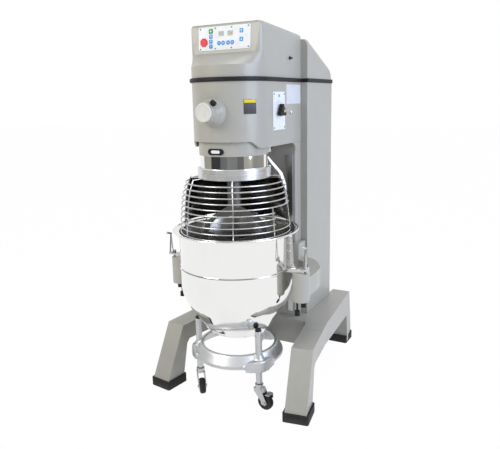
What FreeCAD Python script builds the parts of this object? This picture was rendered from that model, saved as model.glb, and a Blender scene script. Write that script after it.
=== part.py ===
"""Planetary floor mixer with a removable bowl, drawn in millimetres with +Z up.

The front faces -Y. Every function draws about the mixing axis (x = 0, y = 0)
with the floor at z = 0, and save() moves each node so that the origin of the
whole mixer is the middle of its footprint.
"""
import FreeCAD, Part
import math
import os

V = FreeCAD.Vector
UP = V(0, 0, 1)
ALONG_X = V(1, 0, 0)
ALONG_Y = V(0, 1, 0)

# ---------------------------------------------------------------- driving sizes
RUN = 0.05              # radial clearance of a shaft that turns in its bearing
SEAT = 0.3              # gap between parts of two bodies that rest on each other

# bowl
BOWL_R = 259.0          # outside radius of the body
BOWL_T = 3.0            # sheet thickness
BOWL_FLOOR = 327.0      # underside of the foot ring
CONE_IN = 101.0         # how far inside the body's radius the cone meets the floor's knuckle
CONE_FOOT = (BOWL_R - CONE_IN, 353.0)   # radius and height there
SHOULDER_IN = 35.0      # how far inside the body's radius the cone turns into the wall
CONE_TOP = (BOWL_R - SHOULDER_IN, 450.0)
BOWL_BOTTOM = 331.0     # underside of the flat floor
BOWL_RIM = 813.0        # top of the rim
RIM_OUT = 29.0          # how far the rolled rim stands out from the body
RIM_R = BOWL_R + RIM_OUT
FOOT_IN = 20.0          # how far the foot ring stands inside the knuckle
FOOT_R = CONE_FOOT[0] - FOOT_IN
HOOP_Z = 640.0          # height of the hoop that carries the ears

# base
BEAM_TOP = 300.0
BEAM_W = 100.0
FOOT_H = 42.0           # height of a rubber boot
BOOT_T = 9.0            # boot wall
BOOT_FLOOR = 12.0       # rubber under the leg
SPLAY = 8.8             # outward turn of the front legs, degrees
CREASE_X = 306.0        # middle of a side frame where it turns
CREASE_Y = 195.0
FRONT_REACH = 353.0     # crease to the toe of the front leg
REAR_FACE = 763.0       # top rear corner of a side frame
REAR_TOE = 813.0        # rear leg at the floor
FRAME_WALL = 6.0
CROSS_FRONT = 252.0
CROSS_UNDER = 170.0

# column
COL_HALF = 207.0
COL_FRONT = 351.0
COL_REAR = 696.0
COL_WALL = 5.0
NECK_HALF = 172.0
NECK_FRONT = 290.0
NECK_TOP = 1177.0
NECK_WALL = 14.0
SLIDE_W = 28.0
SLIDE_T = 9.0
SLIDE_X = 146.0
SLOT_HALF = 42.0

# head
HEAD_R = 172.5          # nose radius and half width
HEAD_WALL = 8.0
HEAD_SIDE_BOTTOM = 1178.0
HEAD_NOSE_BOTTOM = 1208.0
TRIM_BOTTOM = 1453.0
TRIM_TOP = 1471.0
TRIM_PROUD = 9.0
COVER_WALL_TOP = 1519.0
COVER_WALL = 4.0
PANEL_BOTTOM = 1572.0
PANEL_Y = -58.0
PANEL_TILT = 4.0
COVER_TOP_FRONT = 1694.0
COVER_TOP_REAR = 1668.0
PLATE_W = 250.0
PLATE_H = 96.0
PLATE_T = 2.0
PLATE_Z = 1632.0        # middle of the control plate
STOP_AT = (-98.0, -14.0)        # button middles, across and up from the plate's middle
START_AT = (-64.0, 30.0)
STOP_R = 16.0
START_R = 8.0

# mixing drive
SKIRT_R = 153.0
SKIRT_BOTTOM = 1146.0
DRIP_R = 150.0
DRIP_BOTTOM = 1053.0
COLLAR_R = 163.0
COLLAR_BOTTOM = 1045.0
COLLAR_TOP = 1090.0
ORBIT = 90.0            # agitator axis to mixing axis
ORBIT_TURN = -62.0      # where the agitator stands at rest, degrees
MODULE = 6.0
PINION_TEETH = 15
RING_TEETH = 45
BULL_MODULE = 4.0
BULL_TEETH = 60
MOTOR_TEETH = 20
BACKLASH = 0.5
SPINDLE_R = 25.0
AGITATOR_R = 16.0
LIFT_TRAVEL = 120.0
UNSEAT = 25.0           # how far the bowl lifts off the yoke
BEATER_SIDE = 20.0      # beater to the bowl's wall where it passes closest
BEATER_GAP = 4.0        # beater to bowl, all round, with the bowl at its highest

# guard
WIRE_R = 3.2
SHIELD_IN = 12.5        # shield inside the cage's shape
SHIELD_BOTTOM = 874.0
STAY_ANGLE = 48.0
STAY_T = 3.0
GUARD_FROM = 155.0      # the cage runs from here, through the front, ...
GUARD_TO = 385.0        # ... to here, in degrees about the mixing axis
SHIELD_FROM = 22.0
SHIELD_TO = 158.0
GUARD_INSET = [(48, 1045), (29, 993), (20, 948), (16, 903), (11.5, 855), (10, 806)]
WELD = 1.2              # how far one wire sinks into the wire it is welded to
RING_HEIGHTS = [1028, 1006, 982, 958, 933, 908, 883, 858, 832, 806]
FEED_LOW = 840.0        # the opening that ingredients are poured through: its height ...
FEED_HIGH = 925.0
FEED_SPAN = 42.0        # ... and its width, in degrees
GUARD_SEAMS = [176.0, 200.0, 268.5, 319.5]      # where the cage's welded panels meet

# yoke
BOSS_X = 322.0
BOSS_R = 38.0
BOSS_BOTTOM = 504.0
BOSS_TOP = 635.0
ARM_BOTTOM = 524.0
ARM_TOP = 610.0
BOWL_TO_PLATE = 3.0     # middle of the bowl's back to the front of the slide plate
YOKE_BOTTOM = 470.0
YOKE_HEIGHT = 220.0
PIN_R = 11.0
EAR_T = 18.0
CLAMP_X = 352.0         # stud that a clamp swings about
CLAMP_R = 9.0
CLAMP_T = 8.0
CLAMP_REACH = 40.0      # stud to the end of the clamp
STUD_R = 5.0
SCREW_Y = 364.0
SCREW_R = 14.0
JOURNAL_R = 10.0
SCREW_LOW = 400.0
SCREW_HIGH = 880.0
NUT_Z = 560.0

# dolly
DOLLY_R = 210.0
DOLLY_LIP_R = 168.0
DOLLY_TOP = 262.0
DOLLY_BOTTOM = 204.0
POST_R = 15.0
POST_RING = 190.0
TIP_R = 15.0            # rubber tip of a post
POST_ANGLES = {"a": -33.0, "b": -153.0, "c": 87.0}
WHEEL_R = 37.5
WHEEL_W = 28.0
TRAIL = 34.0
TRAIL_ANGLES = {"a": -8.0, "b": -48.0, "c": 60.0}
FORK_TOP = 116.0

# attachment hub and side controls
HUB_Z = 1331.0
HUB_BORE = 22.0
NOSE_PLATE_AT = -45.0   # blank plate on the nose: where it starts and how wide it is, in degrees
NOSE_PLATE_SPAN = 19.0
CAP_R = 38.5
CAP_FRONT = -241.0
KNOB_Y = 104.0
KNOB_Z = 1327.0
LATCH_Y = 226.0
LATCH_Z = 1557.0

BEATER_HALF = BOWL_R - BOWL_T - ORBIT - BEATER_SIDE
GUARD_PROFILE = [(BOWL_R - inset, z) for inset, z in GUARD_INSET]
YOKE_PLATE_Y = BOWL_R + BOWL_TO_PLATE
FOOT_REAR = REAR_TOE + BOOT_T
MIDDLE = V(0, -(FOOT_REAR - RIM_R) / 2, 0)


# ---------------------------------------------------------------- helpers
def save(name, *shapes):
    """Write one node, moved so that the footprint's middle is the origin."""
    node = Part.Compound(list(shapes)) if len(shapes) > 1 else shapes[0]
    node = node.copy()
    node.translate(MIDDLE)
    node.exportStep("parts/" + name + ".step")


def box(x0, x1, y0, y1, z0, z1):
    return Part.makeBox(x1 - x0, y1 - y0, z1 - z0, V(x0, y0, z0))


def cyl(radius, z0, z1, x=0.0, y=0.0):
    return Part.makeCylinder(radius, z1 - z0, V(x, y, z0), UP)


def bar(start, end, radius):
    return Part.makeCylinder(radius, (end - start).Length, start, end - start)


def face(points):
    return Part.Face(Part.makePolygon(points + points[:1]))


def prism_x(yz, x0, x1):
    """A side profile, as (y, z) points, pulled from x0 to x1."""
    return face([V(x0, y, z) for y, z in yz]).extrude(V(x1 - x0, 0, 0))


def prism_z(xy, z0, z1):
    """A plan profile, as (x, y) points, pulled from z0 to z1."""
    return face([V(x, y, z0) for x, y in xy]).extrude(V(0, 0, z1 - z0))


def lathe(rz, angle=360.0, start=0.0):
    """A radius and height profile turned about the mixing axis."""
    solid = face([V(r, 0, z) for r, z in rz]).revolve(V(0, 0, 0), UP, angle)
    solid.rotate(V(0, 0, 0), UP, start)
    return solid


def hub_lathe(ry):
    """A radius and y profile turned about the attachment hub's axis."""
    return face([V(r, y, HUB_Z) for r, y in ry]).revolve(V(0, 0, HUB_Z), ALONG_Y, 360)


def fuse(shapes):
    return shapes[0].multiFuse(shapes[1:]).removeSplitter()


def turned(shape, degrees, centre=V(0, 0, 0), axis=UP):
    result = shape.copy()
    result.rotate(centre, axis, degrees)
    return result


def mirrored(shape):
    return shape.mirror(V(0, 0, 0), ALONG_X)


def polar(radius, degrees, z=0.0):
    angle = math.radians(degrees)
    return V(radius * math.cos(angle), radius * math.sin(angle), z)


def vertical_edges(shape, radius_test):
    """The straight upright edges that pass the test on their (x, y)."""
    found = []
    for edge in shape.Edges:
        a, b = edge.Vertexes[0].Point, edge.Vertexes[-1].Point
        if abs(a.x - b.x) + abs(a.y - b.y) < 0.01 and abs(a.z - b.z) > 1 and radius_test(a.x, a.y):
            found.append(edge)
    return found


# ---------------------------------------------------------------- gears
def involute(base_r, radius):
    """Polar angle of an involute at a radius."""
    if radius <= base_r:
        return 0.0
    roll = math.sqrt((radius / base_r) ** 2 - 1)
    return roll - math.atan(roll)


def gear_outline(teeth, module, root_r, tip_r, thickness, steps=4):
    """Closed outline of external involute teeth, one of them centred on +X."""
    pitch_r = module * teeth / 2
    base_r = pitch_r * math.cos(math.radians(20))
    half = thickness / (2 * pitch_r) + involute(base_r, pitch_r)
    low = max(root_r, base_r)
    radii = [low + (tip_r - low) * i / steps for i in range(steps + 1)]
    flank = [(root_r, half)] if root_r < base_r else []
    flank += [(r, half - involute(base_r, r)) for r in radii]
    points = []
    for tooth in range(teeth):
        middle = 2 * math.pi * tooth / teeth
        for r, a in flank:
            points.append((r, middle - a))
        for r, a in reversed(flank):
            points.append((r, middle + a))
    return [(r * math.cos(a), r * math.sin(a)) for r, a in points]


def spur_gear(teeth, module, z0, z1, bore):
    pitch = math.pi * module
    outline = gear_outline(teeth, module, module * (teeth / 2 - 1.25), module * (teeth / 2 + 0.95),
                           pitch / 2 - BACKLASH)
    return prism_z(outline, z0, z1).cut(cyl(bore, z0 - 1, z1 + 1))


def ring_gear(z0, z1):
    """Internal gear: its tooth spaces are the teeth of a full outline."""
    pitch = math.pi * MODULE
    space = gear_outline(RING_TEETH, MODULE, MODULE * (RING_TEETH / 2 - 0.8),
                         MODULE * (RING_TEETH / 2 + 1.3), pitch / 2 + BACKLASH)
    return cyl(SKIRT_R - 6, z0, z1).cut(prism_z(space, z0 - 1, z1 + 1))


# ---------------------------------------------------------------- base
def leg_profile(inset, foot):
    """Side profile of the front of a side frame, y measured from the crease."""
    i = inset
    return [(60, BEAM_TOP - i), (0, BEAM_TOP - i), (-233 + i, BEAM_TOP - 7 - i),
            (-FRONT_REACH + i, FOOT_H), (-FRONT_REACH + i, foot), (-241 - i, foot),
            (-241 - i, FOOT_H), (-209 - i, 192), (-190 - i * 0.6, 212 + i), (60, 203 + i)]


def rear_profile(inset, foot):
    i = inset
    return [(CREASE_Y - 30, BEAM_TOP - i), (REAR_FACE - i, BEAM_TOP - i), (REAR_TOE - i, FOOT_H),
            (REAR_TOE - i, foot), (724 + i, foot), (724 + i, FOOT_H), (701 + i, 178 + i),
            (CREASE_Y - 30, 203 + i)]


def side_frame(inset, foot):
    """The right side frame: a bent box section with a leg at each end."""
    half = BEAM_W / 2 - inset
    front = prism_x(leg_profile(inset, foot), -half, half)
    front.rotate(V(0, 0, 0), UP, SPLAY)
    front.translate(V(CREASE_X, CREASE_Y, 0))
    plan = [(258 + inset, CREASE_Y - 28), (354 - inset, CREASE_Y - 20), (351 - inset, CREASE_Y + 6),
            (286 - inset, REAR_TOE + 60), (COL_HALF - 9 + inset, REAR_TOE + 60),
            (COL_HALF - 9 + inset, CREASE_Y + 120), (254 + inset, CREASE_Y + 20)]
    rear = prism_x(rear_profile(inset, foot), 100, 420).common(prism_z(plan, -10, 320))
    return fuse([front, rear])


def foot_boot(cx, cy, half_x, half_y, angle):
    """A rubber boot around the bottom of a leg, before the leg is cut out of it."""
    boot = box(-half_x, half_x, -half_y, half_y, 0, FOOT_H)
    boot = boot.makeFillet(9, vertical_edges(boot, lambda x, y: True))
    boot.rotate(V(0, 0, 0), UP, angle)
    boot.translate(V(cx, cy, 0))
    return boot


def base():
    outer = side_frame(0, BOOT_FLOOR)
    right = outer.cut(side_frame(FRAME_WALL, BOOT_FLOOR - 1))
    toe = CREASE_X + (FRONT_REACH - 56) * math.sin(math.radians(SPLAY))
    toe_y = CREASE_Y - (FRONT_REACH - 56) * math.cos(math.radians(SPLAY))
    front_boot = foot_boot(toe, toe_y, BEAM_W / 2 + BOOT_T, 56 + BOOT_T, SPLAY)
    rear_boot = foot_boot(243.5, (724 + REAR_TOE) / 2, 45.5 + BOOT_T, (REAR_TOE - 724) / 2 + BOOT_T, 0)
    boots = [front_boot.cut(outer), rear_boot.cut(outer)]
    cross = box(-COL_HALF + 9, COL_HALF - 9, CROSS_FRONT, 700, CROSS_UNDER, BEAM_TOP)
    lugs = [prism_z([(-COL_HALF + 10, CROSS_FRONT), (-252, CROSS_FRONT), (-COL_HALF + 9, CREASE_Y + 117)],
                    CROSS_UNDER + 40, BEAM_TOP)]
    cross = cross.cut(box(-COL_HALF + 21, COL_HALF - 21, CROSS_FRONT + 12, 688, CROSS_UNDER - 1,
                          BEAM_TOP - 10))
    cross = fuse([cross, lugs[0], mirrored(lugs[0])])
    cross = cross.cut(outer).cut(mirrored(outer))
    save("side_frame_right", right)
    save("side_frame_left", mirrored(right))
    save("foot_boots", *boots, *[mirrored(boot) for boot in boots])
    save("cross_box", cross)


# ---------------------------------------------------------------- column
def column_tube(grow, front, z0, z1, corner):
    tube = box(-COL_HALF - grow, COL_HALF + grow, front, COL_REAR + grow, z0, z1)
    return tube.makeFillet(corner, vertical_edges(tube, lambda x, y: y > COL_REAR - 60))


def column():
    shell = column_tube(0, COL_FRONT, BEAM_TOP, TRIM_BOTTOM, 18)
    shell = shell.cut(column_tube(-COL_WALL, COL_FRONT + COL_WALL, BEAM_TOP - 1, TRIM_BOTTOM + 1, 14))
    opening = box(-NECK_HALF + NECK_WALL, NECK_HALF - NECK_WALL, COL_FRONT - 1,
                  COL_FRONT + COL_WALL + 1, BEAM_TOP + 60, TRIM_BOTTOM + 1)
    save("column_shell", shell.cut(opening))

    ridge = [(COL_FRONT, TRIM_TOP), (COL_FRONT, 1647), (COL_FRONT + 24, 1650), (643, 1540),
             (668, 1527), (686, 1509), (COL_REAR, 1484), (COL_REAR, TRIM_TOP)]
    cap = prism_x(ridge, -COL_HALF, COL_HALF)
    sides = [e for e in cap.Edges if is_cap_side(e)]
    cap = cap.makeFillet(30, sides)
    hollow = prism_x([(y - 5 if y > COL_FRONT + 30 else y + 5, z - 5) for y, z in ridge],
                     -COL_HALF + 34, COL_HALF - 34)
    lower = box(-COL_HALF + 5, COL_HALF - 5, COL_FRONT + 5, COL_REAR - 5, TRIM_TOP - 1, TRIM_TOP + 12)
    save("column_cap", cap.cut(fuse([hollow, lower])))

    band = column_tube(4, COL_FRONT, TRIM_BOTTOM, TRIM_TOP, 20)
    band = band.cut(column_tube(-COL_WALL, COL_FRONT + 8, TRIM_BOTTOM - 1, TRIM_TOP + 1, 14))
    band = band.cut(box(-NECK_HALF + NECK_WALL, NECK_HALF - NECK_WALL, COL_FRONT - 1, COL_FRONT + 9,
                        TRIM_BOTTOM - 1, TRIM_TOP + 1))
    save("trim_strip", trim_strip(), band)

    save("column_neck", neck())
    ways = box(SLIDE_X - SLIDE_W / 2, SLIDE_X + SLIDE_W / 2, NECK_FRONT - SLIDE_T, NECK_FRONT,
               BEAM_TOP + 30, 1120)
    ways = ways.makeFillet(1.5, vertical_edges(ways, lambda x, y: y < NECK_FRONT - 1))
    save("slide_ways", ways, mirrored(ways))


def is_cap_side(edge):
    """Upper edges along the sides of the column cap."""
    a, b = edge.Vertexes[0].Point, edge.Vertexes[-1].Point
    on_side = abs(abs(a.x) - COL_HALF) < 0.01 and abs(a.x - b.x) < 0.01
    return on_side and min(a.z, b.z) > TRIM_TOP + 1 and abs(a.y - b.y) > 1


def neck():
    """Cast front of the column, with a slot for the lift nut and corner webs under the head."""
    body = box(-NECK_HALF, NECK_HALF, NECK_FRONT, COL_FRONT, BEAM_TOP, NECK_TOP)
    body = body.makeFillet(6, vertical_edges(body, lambda x, y: y < NECK_FRONT + 1))
    body = body.cut(box(-NECK_HALF + NECK_WALL, NECK_HALF - NECK_WALL, NECK_FRONT + NECK_WALL,
                        COL_FRONT + 1, BEAM_TOP + 60, NECK_TOP + 1))
    slot = box(-SLOT_HALF, SLOT_HALF, NECK_FRONT - 1, NECK_FRONT + NECK_WALL + 1, 470, 830)
    body = body.cut(slot)
    corner = 38.0
    web = [(NECK_FRONT + 1, NECK_TOP), (NECK_FRONT + 1, NECK_TOP - corner)]
    for step in range(7):
        angle = math.radians(15 * step)
        web.append((NECK_FRONT - corner + corner * math.cos(angle),
                    NECK_TOP - corner + corner * math.sin(angle) - 0.01))
    side = prism_x(web, NECK_HALF - 12, NECK_HALF)
    return fuse([body, side, mirrored(side)])


# ---------------------------------------------------------------- head
def d_wire(z, grow, chord=None, corner=28.0):
    """D-shaped outline at a height, its nose an arc or cut square at a chord.

    Both kinds have seven edges in the same order, so one can be lofted into the other.
    """
    r = HEAD_R + grow
    back = COL_FRONT
    if chord is None:
        turn = math.radians(38)
        p0, p1 = V(r, 0, z), V(r * math.cos(turn), -r * math.sin(turn), z)
        nose = [Part.Arc(p0, V(r * math.cos(turn / 2), -r * math.sin(turn / 2), z), p1).toShape(),
                Part.Arc(p1, V(0, -r, z), V(-p1.x, p1.y, z)).toShape(),
                Part.Arc(V(-p1.x, p1.y, z), V(-r * math.cos(turn / 2), -r * math.sin(turn / 2), z),
                         V(-r, 0, z)).toShape()]
        start = 0.0
    else:
        c = corner
        q = c * (1 - math.sqrt(0.5))
        start = chord + c
        nose = [Part.Arc(V(r, start, z), V(r - q, chord + q, z), V(r - c, chord, z)).toShape(),
                Part.LineSegment(V(r - c, chord, z), V(c - r, chord, z)).toShape(),
                Part.Arc(V(c - r, chord, z), V(q - r, chord + q, z), V(-r, start, z)).toShape()]
    rest = [V(-r, start, z), V(-r, back, z), V(r, back, z), V(r, start, z)]
    lines = [Part.LineSegment(a, b).toShape() for a, b in zip(rest, rest[1:])]
    return Part.Wire(nose + lines)


def d_prism(z0, z1, grow=0.0, back=COL_FRONT):
    solid = Part.Face(d_wire(z0, grow)).extrude(V(0, 0, z1 - z0))
    if back < COL_FRONT:
        solid = solid.cut(box(-300, 300, back, COL_FRONT + 1, z0 - 1, z1 + 1))
    return solid


def head_housing():
    shell = d_prism(HEAD_SIDE_BOTTOM, TRIM_BOTTOM)
    shell = shell.cut(d_prism(HEAD_NOSE_BOTTOM + 12, TRIM_BOTTOM + 1, -HEAD_WALL, COL_FRONT - HEAD_WALL))
    shell = shell.cut(d_prism(HEAD_SIDE_BOTTOM - 1, HEAD_NOSE_BOTTOM, -HEAD_WALL, COL_FRONT - HEAD_WALL))
    nose = [(-200, 1100), (-200, HEAD_NOSE_BOTTOM), (-98, HEAD_NOSE_BOTTOM), (-58, HEAD_SIDE_BOTTOM),
            (-58, 1100)]
    shell = shell.cut(prism_x(nose, -300, 300))
    shell = shell.cut(box(-NECK_HALF + NECK_WALL, NECK_HALF - NECK_WALL, COL_FRONT - 9, COL_FRONT + 1,
                          HEAD_NOSE_BOTTOM + 30, TRIM_BOTTOM + 1))
    shell = shell.cut(cyl(44, HEAD_NOSE_BOTTOM - 1, HEAD_NOSE_BOTTOM + 13))
    shell = shell.cut(Part.makeCylinder(HUB_BORE + 8, 60, V(0, -200, HUB_Z), ALONG_Y))
    shell = shell.cut(Part.makeCylinder(11, 20, V(HEAD_R - 12, KNOB_Y, KNOB_Z), ALONG_X))
    return shell


def cover_form(inset):
    """The raised cover as two forms: a square block with the panel face, and the round
    wall with the shoulder that leads up to it."""
    wall = Part.Face(d_wire(TRIM_TOP, -inset)).extrude(V(0, 0, COVER_WALL_TOP - TRIM_TOP))
    shoulder = Part.makeLoft([d_wire(COVER_WALL_TOP, -inset),
                              d_wire(PANEL_BOTTOM, -inset, PANEL_Y + inset)], True, True)
    block = Part.Face(d_wire(PANEL_BOTTOM, -inset, PANEL_Y + inset)).extrude(V(0, 0, 160))
    lean = math.tan(math.radians(PANEL_TILT))
    top = [(PANEL_Y - 30, COVER_TOP_FRONT - inset + 2), (COL_FRONT + 1, COVER_TOP_REAR - inset),
           (COL_FRONT + 1, 1900), (PANEL_Y - 30, 1900)]
    front = [(PANEL_Y + inset - 1, PANEL_BOTTOM), (PANEL_Y + inset, PANEL_BOTTOM),
             (PANEL_Y + inset + 200 * lean, PANEL_BOTTOM + 200), (PANEL_Y + inset - 1, PANEL_BOTTOM + 200)]
    block = block.cut(prism_x(top, -300, 300)).cut(prism_x(front, -300, 300))
    return block, fuse([wall, shoulder])


def head_cover():
    block, lower = cover_form(0)
    upper = [e for e in block.Edges if e.CenterOfMass.z > 1640 and e.BoundBox.YMax < COL_FRONT - 1
             or (e.CenterOfMass.z > 1640 and abs(abs(e.CenterOfMass.x) - HEAD_R) < 0.5
                 and e.BoundBox.YLength > 50)]
    block = block.makeFillet(16, upper)
    inner_block, inner_lower = cover_form(COVER_WALL)
    hollow = fuse([inner_block, inner_lower])
    hollow = hollow.cut(box(-300, 300, COL_FRONT - COVER_WALL, COL_FRONT + 2, 1400, 1900))
    latch_hole = Part.makeCylinder(4 + RUN, 20, V(HEAD_R - 10, LATCH_Y, LATCH_Z), ALONG_X)
    cover = fuse([block, lower]).cut(hollow).cut(latch_hole)
    for hole in button_holes():
        cover = cover.cut(on_panel(hole, PLATE_Z))
    return cover


def trim_strip():
    outer = d_prism(TRIM_BOTTOM, TRIM_TOP, TRIM_PROUD)
    outer = outer.makeFillet(5, [e for e in outer.Edges if e.Length > 100 and e.BoundBox.ZLength < 0.1
                                 and e.BoundBox.YMax < COL_FRONT])
    return outer.cut(d_prism(TRIM_BOTTOM - 1, TRIM_TOP + 1, -HEAD_WALL, COL_FRONT - HEAD_WALL))


def on_panel(shape, up):
    """Place a piece drawn flat in X and Z, its back at y = 0, on the leaning panel face."""
    lean = math.radians(PANEL_TILT)
    placed = shape.copy()
    placed.rotate(V(0, 0, 0), ALONG_X, -PANEL_TILT)
    placed.translate(V(0, PANEL_Y + (up - PANEL_BOTTOM) * math.tan(lean), up))
    return placed


def disc(radius, x, z, front, back=0.0):
    """A short cylinder facing -Y, from y = -front to y = -back."""
    return Part.makeCylinder(radius, front - back, V(x, -front, z), ALONG_Y)


def button_holes():
    """Round holes for the two buttons, through the plate and the cover behind it."""
    return [disc(STOP_R + 0.4, *STOP_AT, 9, -20), disc(START_R + 0.4, *START_AT, 9, -20)]


def control_panel():
    half_w, half_h = PLATE_W / 2, PLATE_H / 2
    plate = box(-half_w, half_w, -PLATE_T, 0, -half_h, half_h)
    corners = [e for e in plate.Edges if e.BoundBox.YLength > 1 and e.Length < 3]
    plate = plate.makeFillet(8, corners)
    for hole in button_holes():
        plate = plate.cut(hole)
    save("control_plate", on_panel(plate, PLATE_Z))
    windows = [box(x - 13, x + 13, -PLATE_T - 0.8, -PLATE_T, 8, 28) for x in (-14, 30)]
    save("display_windows", *[on_panel(w, PLATE_Z) for w in windows])
    keys = []
    for row in (8, -12, -32):
        keys.append(box(-73, -55, -PLATE_T - 1, -PLATE_T, row - 8, row + 8))
    for x in (-24, -4, 20, 40):
        keys.append(disc(9, x, -20, PLATE_T + 1, PLATE_T))
    for row in (24, -10):
        keys.append(box(74, 92, -PLATE_T - 1, -PLATE_T, row - 9, row + 9))
    save("key_pads", *[on_panel(key, PLATE_Z) for key in keys])
    screws = []
    for x in (-half_w + 9, -42, 36, half_w - 9):
        for z in (-half_h + 7, half_h - 7):
            screws.append(on_panel(disc(3.4, x, z, PLATE_T + 1.6, PLATE_T), PLATE_Z))
    for y in (56, 159):
        for z in (1256, 1400):
            screws.append(Part.makeCylinder(3.6, 2, V(HEAD_R + PLATE_T, y, z), ALONG_X))
    save("plate_screws", *screws)
    stop = fuse([disc(STOP_R, *STOP_AT, PLATE_T + 3), disc(STOP_R + 3, *STOP_AT, PLATE_T + 3, PLATE_T + 1.3)])
    start = fuse([disc(START_R, *START_AT, PLATE_T + 2.6),
                  disc(START_R + 2, *START_AT, PLATE_T + 2.6, PLATE_T + 1.3)])
    save("stop_button", on_panel(stop, PLATE_Z))
    save("start_button", on_panel(start, PLATE_Z))


def side_controls():
    plate = box(HEAD_R, HEAD_R + PLATE_T, 47, 168, 1246, 1410)
    bush = Part.makeCylinder(11, 14, V(HEAD_R - HEAD_WALL, KNOB_Y, KNOB_Z), ALONG_X)
    shaft_hole = Part.makeCylinder(7 + RUN, 40, V(HEAD_R - 20, KNOB_Y, KNOB_Z), ALONG_X)
    save("shift_plate", fuse([plate, bush]).cut(shaft_hole))
    chart = box(HEAD_R, HEAD_R + 1, 186, 345, 1356, 1442)
    nose_plate = lathe([(HEAD_R, 1321), (HEAD_R + 1.2, 1321), (HEAD_R + 1.2, 1380), (HEAD_R, 1380)],
                       NOSE_PLATE_SPAN, NOSE_PLATE_AT)
    save("blank_plates", chart, nose_plate)
    shaft = Part.makeCylinder(7, 44, V(HEAD_R - 14, KNOB_Y, KNOB_Z), ALONG_X)
    lobes = [Part.makeCylinder(20, 16, V(HEAD_R + 9, KNOB_Y, KNOB_Z), ALONG_X)]
    for turn in (90, 210, 330):
        y = KNOB_Y + 21 * math.cos(math.radians(turn))
        z = KNOB_Z + 21 * math.sin(math.radians(turn))
        lobes.append(Part.makeCylinder(10, 16, V(HEAD_R + 9, y, z), ALONG_X))
    handle = bar(V(HEAD_R + 27, KNOB_Y, KNOB_Z), V(HEAD_R + 36, KNOB_Y + 44, KNOB_Z - 6), 4)
    tip = Part.makeSphere(8, V(HEAD_R + 36.5, KNOB_Y + 48, KNOB_Z - 6.5))
    lever = fuse([shaft, handle, tip])
    save("shift_knob", fuse(lobes).cut(lever))
    save("shift_lever", lever)
    stud = Part.makeCylinder(4, 12, V(HEAD_R - 8, LATCH_Y, LATCH_Z), ALONG_X)
    wing = box(HEAD_R + 3, HEAD_R + 9, LATCH_Y - 12, LATCH_Y + 12, LATCH_Z - 4, LATCH_Z + 4)
    rose = Part.makeCylinder(8, 2.6, V(HEAD_R + 0.4, LATCH_Y, LATCH_Z), ALONG_X)
    save("cover_latch", fuse([stud, wing, rose]))


def attachment_hub():
    outside = [(0, -232), (40, -232), (43, -228), (43, -206), (46, -196), (56, -184), (62, -168),
               (62, -140), (0, -140)]
    boss = hub_lathe(outside).cut(d_prism(1200, 1460))
    sleeve = Part.makeCylinder(HUB_BORE + 8, 60, V(0, -192, HUB_Z), ALONG_Y)
    boss = fuse([boss, sleeve.common(box(-100, 100, -192, -140, 1200, 1460))])
    boss = boss.cut(Part.makeCylinder(HUB_BORE, 120, V(0, -240, HUB_Z), ALONG_Y))
    way = polar(1, 45)
    way = V(way.x, 0, way.y)
    hole = Part.makeCylinder(6 + RUN, 80, V(0, -219, HUB_Z), way)
    save("hub_boss", boss.cut(hole))
    shank = Part.makeCylinder(6, 24, V(0, -219, HUB_Z) + way * (HUB_BORE + 3), way)
    head = Part.makeCylinder(13, 14, V(0, -219, HUB_Z) + way * 46, way)
    save("hub_screw", fuse([shank, head]))
    cap = fuse([Part.makeCylinder(CAP_R, 8.7, V(0, CAP_FRONT, HUB_Z), ALONG_Y),
                Part.makeCylinder(HUB_BORE - RUN, 26, V(0, CAP_FRONT + 5, HUB_Z), ALONG_Y)])
    rim = [e for e in cap.Edges if e.Curve.TypeId == "Part::GeomCircle" and abs(e.Curve.Radius - CAP_R) < 0.1
           and e.BoundBox.YMax < CAP_FRONT + 1]
    save("hub_cap", cap.makeFillet(3, rim))
    save("sensor_window", fuse([box(-24, 24, -SKIRT_R - 3, -SKIRT_R + 6, 1154, 1180),
                                disc(13, -24, 1167, SKIRT_R + 3, SKIRT_R - 9),
                                disc(13, 24, 1167, SKIRT_R + 3, SKIRT_R - 9)]).cut(cyl(SKIRT_R, 1100, 1250)))


def head():
    save("head_housing", head_housing())
    save("head_cover", head_cover())
    skirt = cyl(SKIRT_R, SKIRT_BOTTOM, HEAD_NOSE_BOTTOM).cut(cyl(SKIRT_R - 6, 0, HEAD_NOSE_BOTTOM - 10))
    save("head_skirt", skirt.cut(cyl(44, 1100, 1300)))
    control_panel()
    side_controls()
    attachment_hub()


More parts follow.
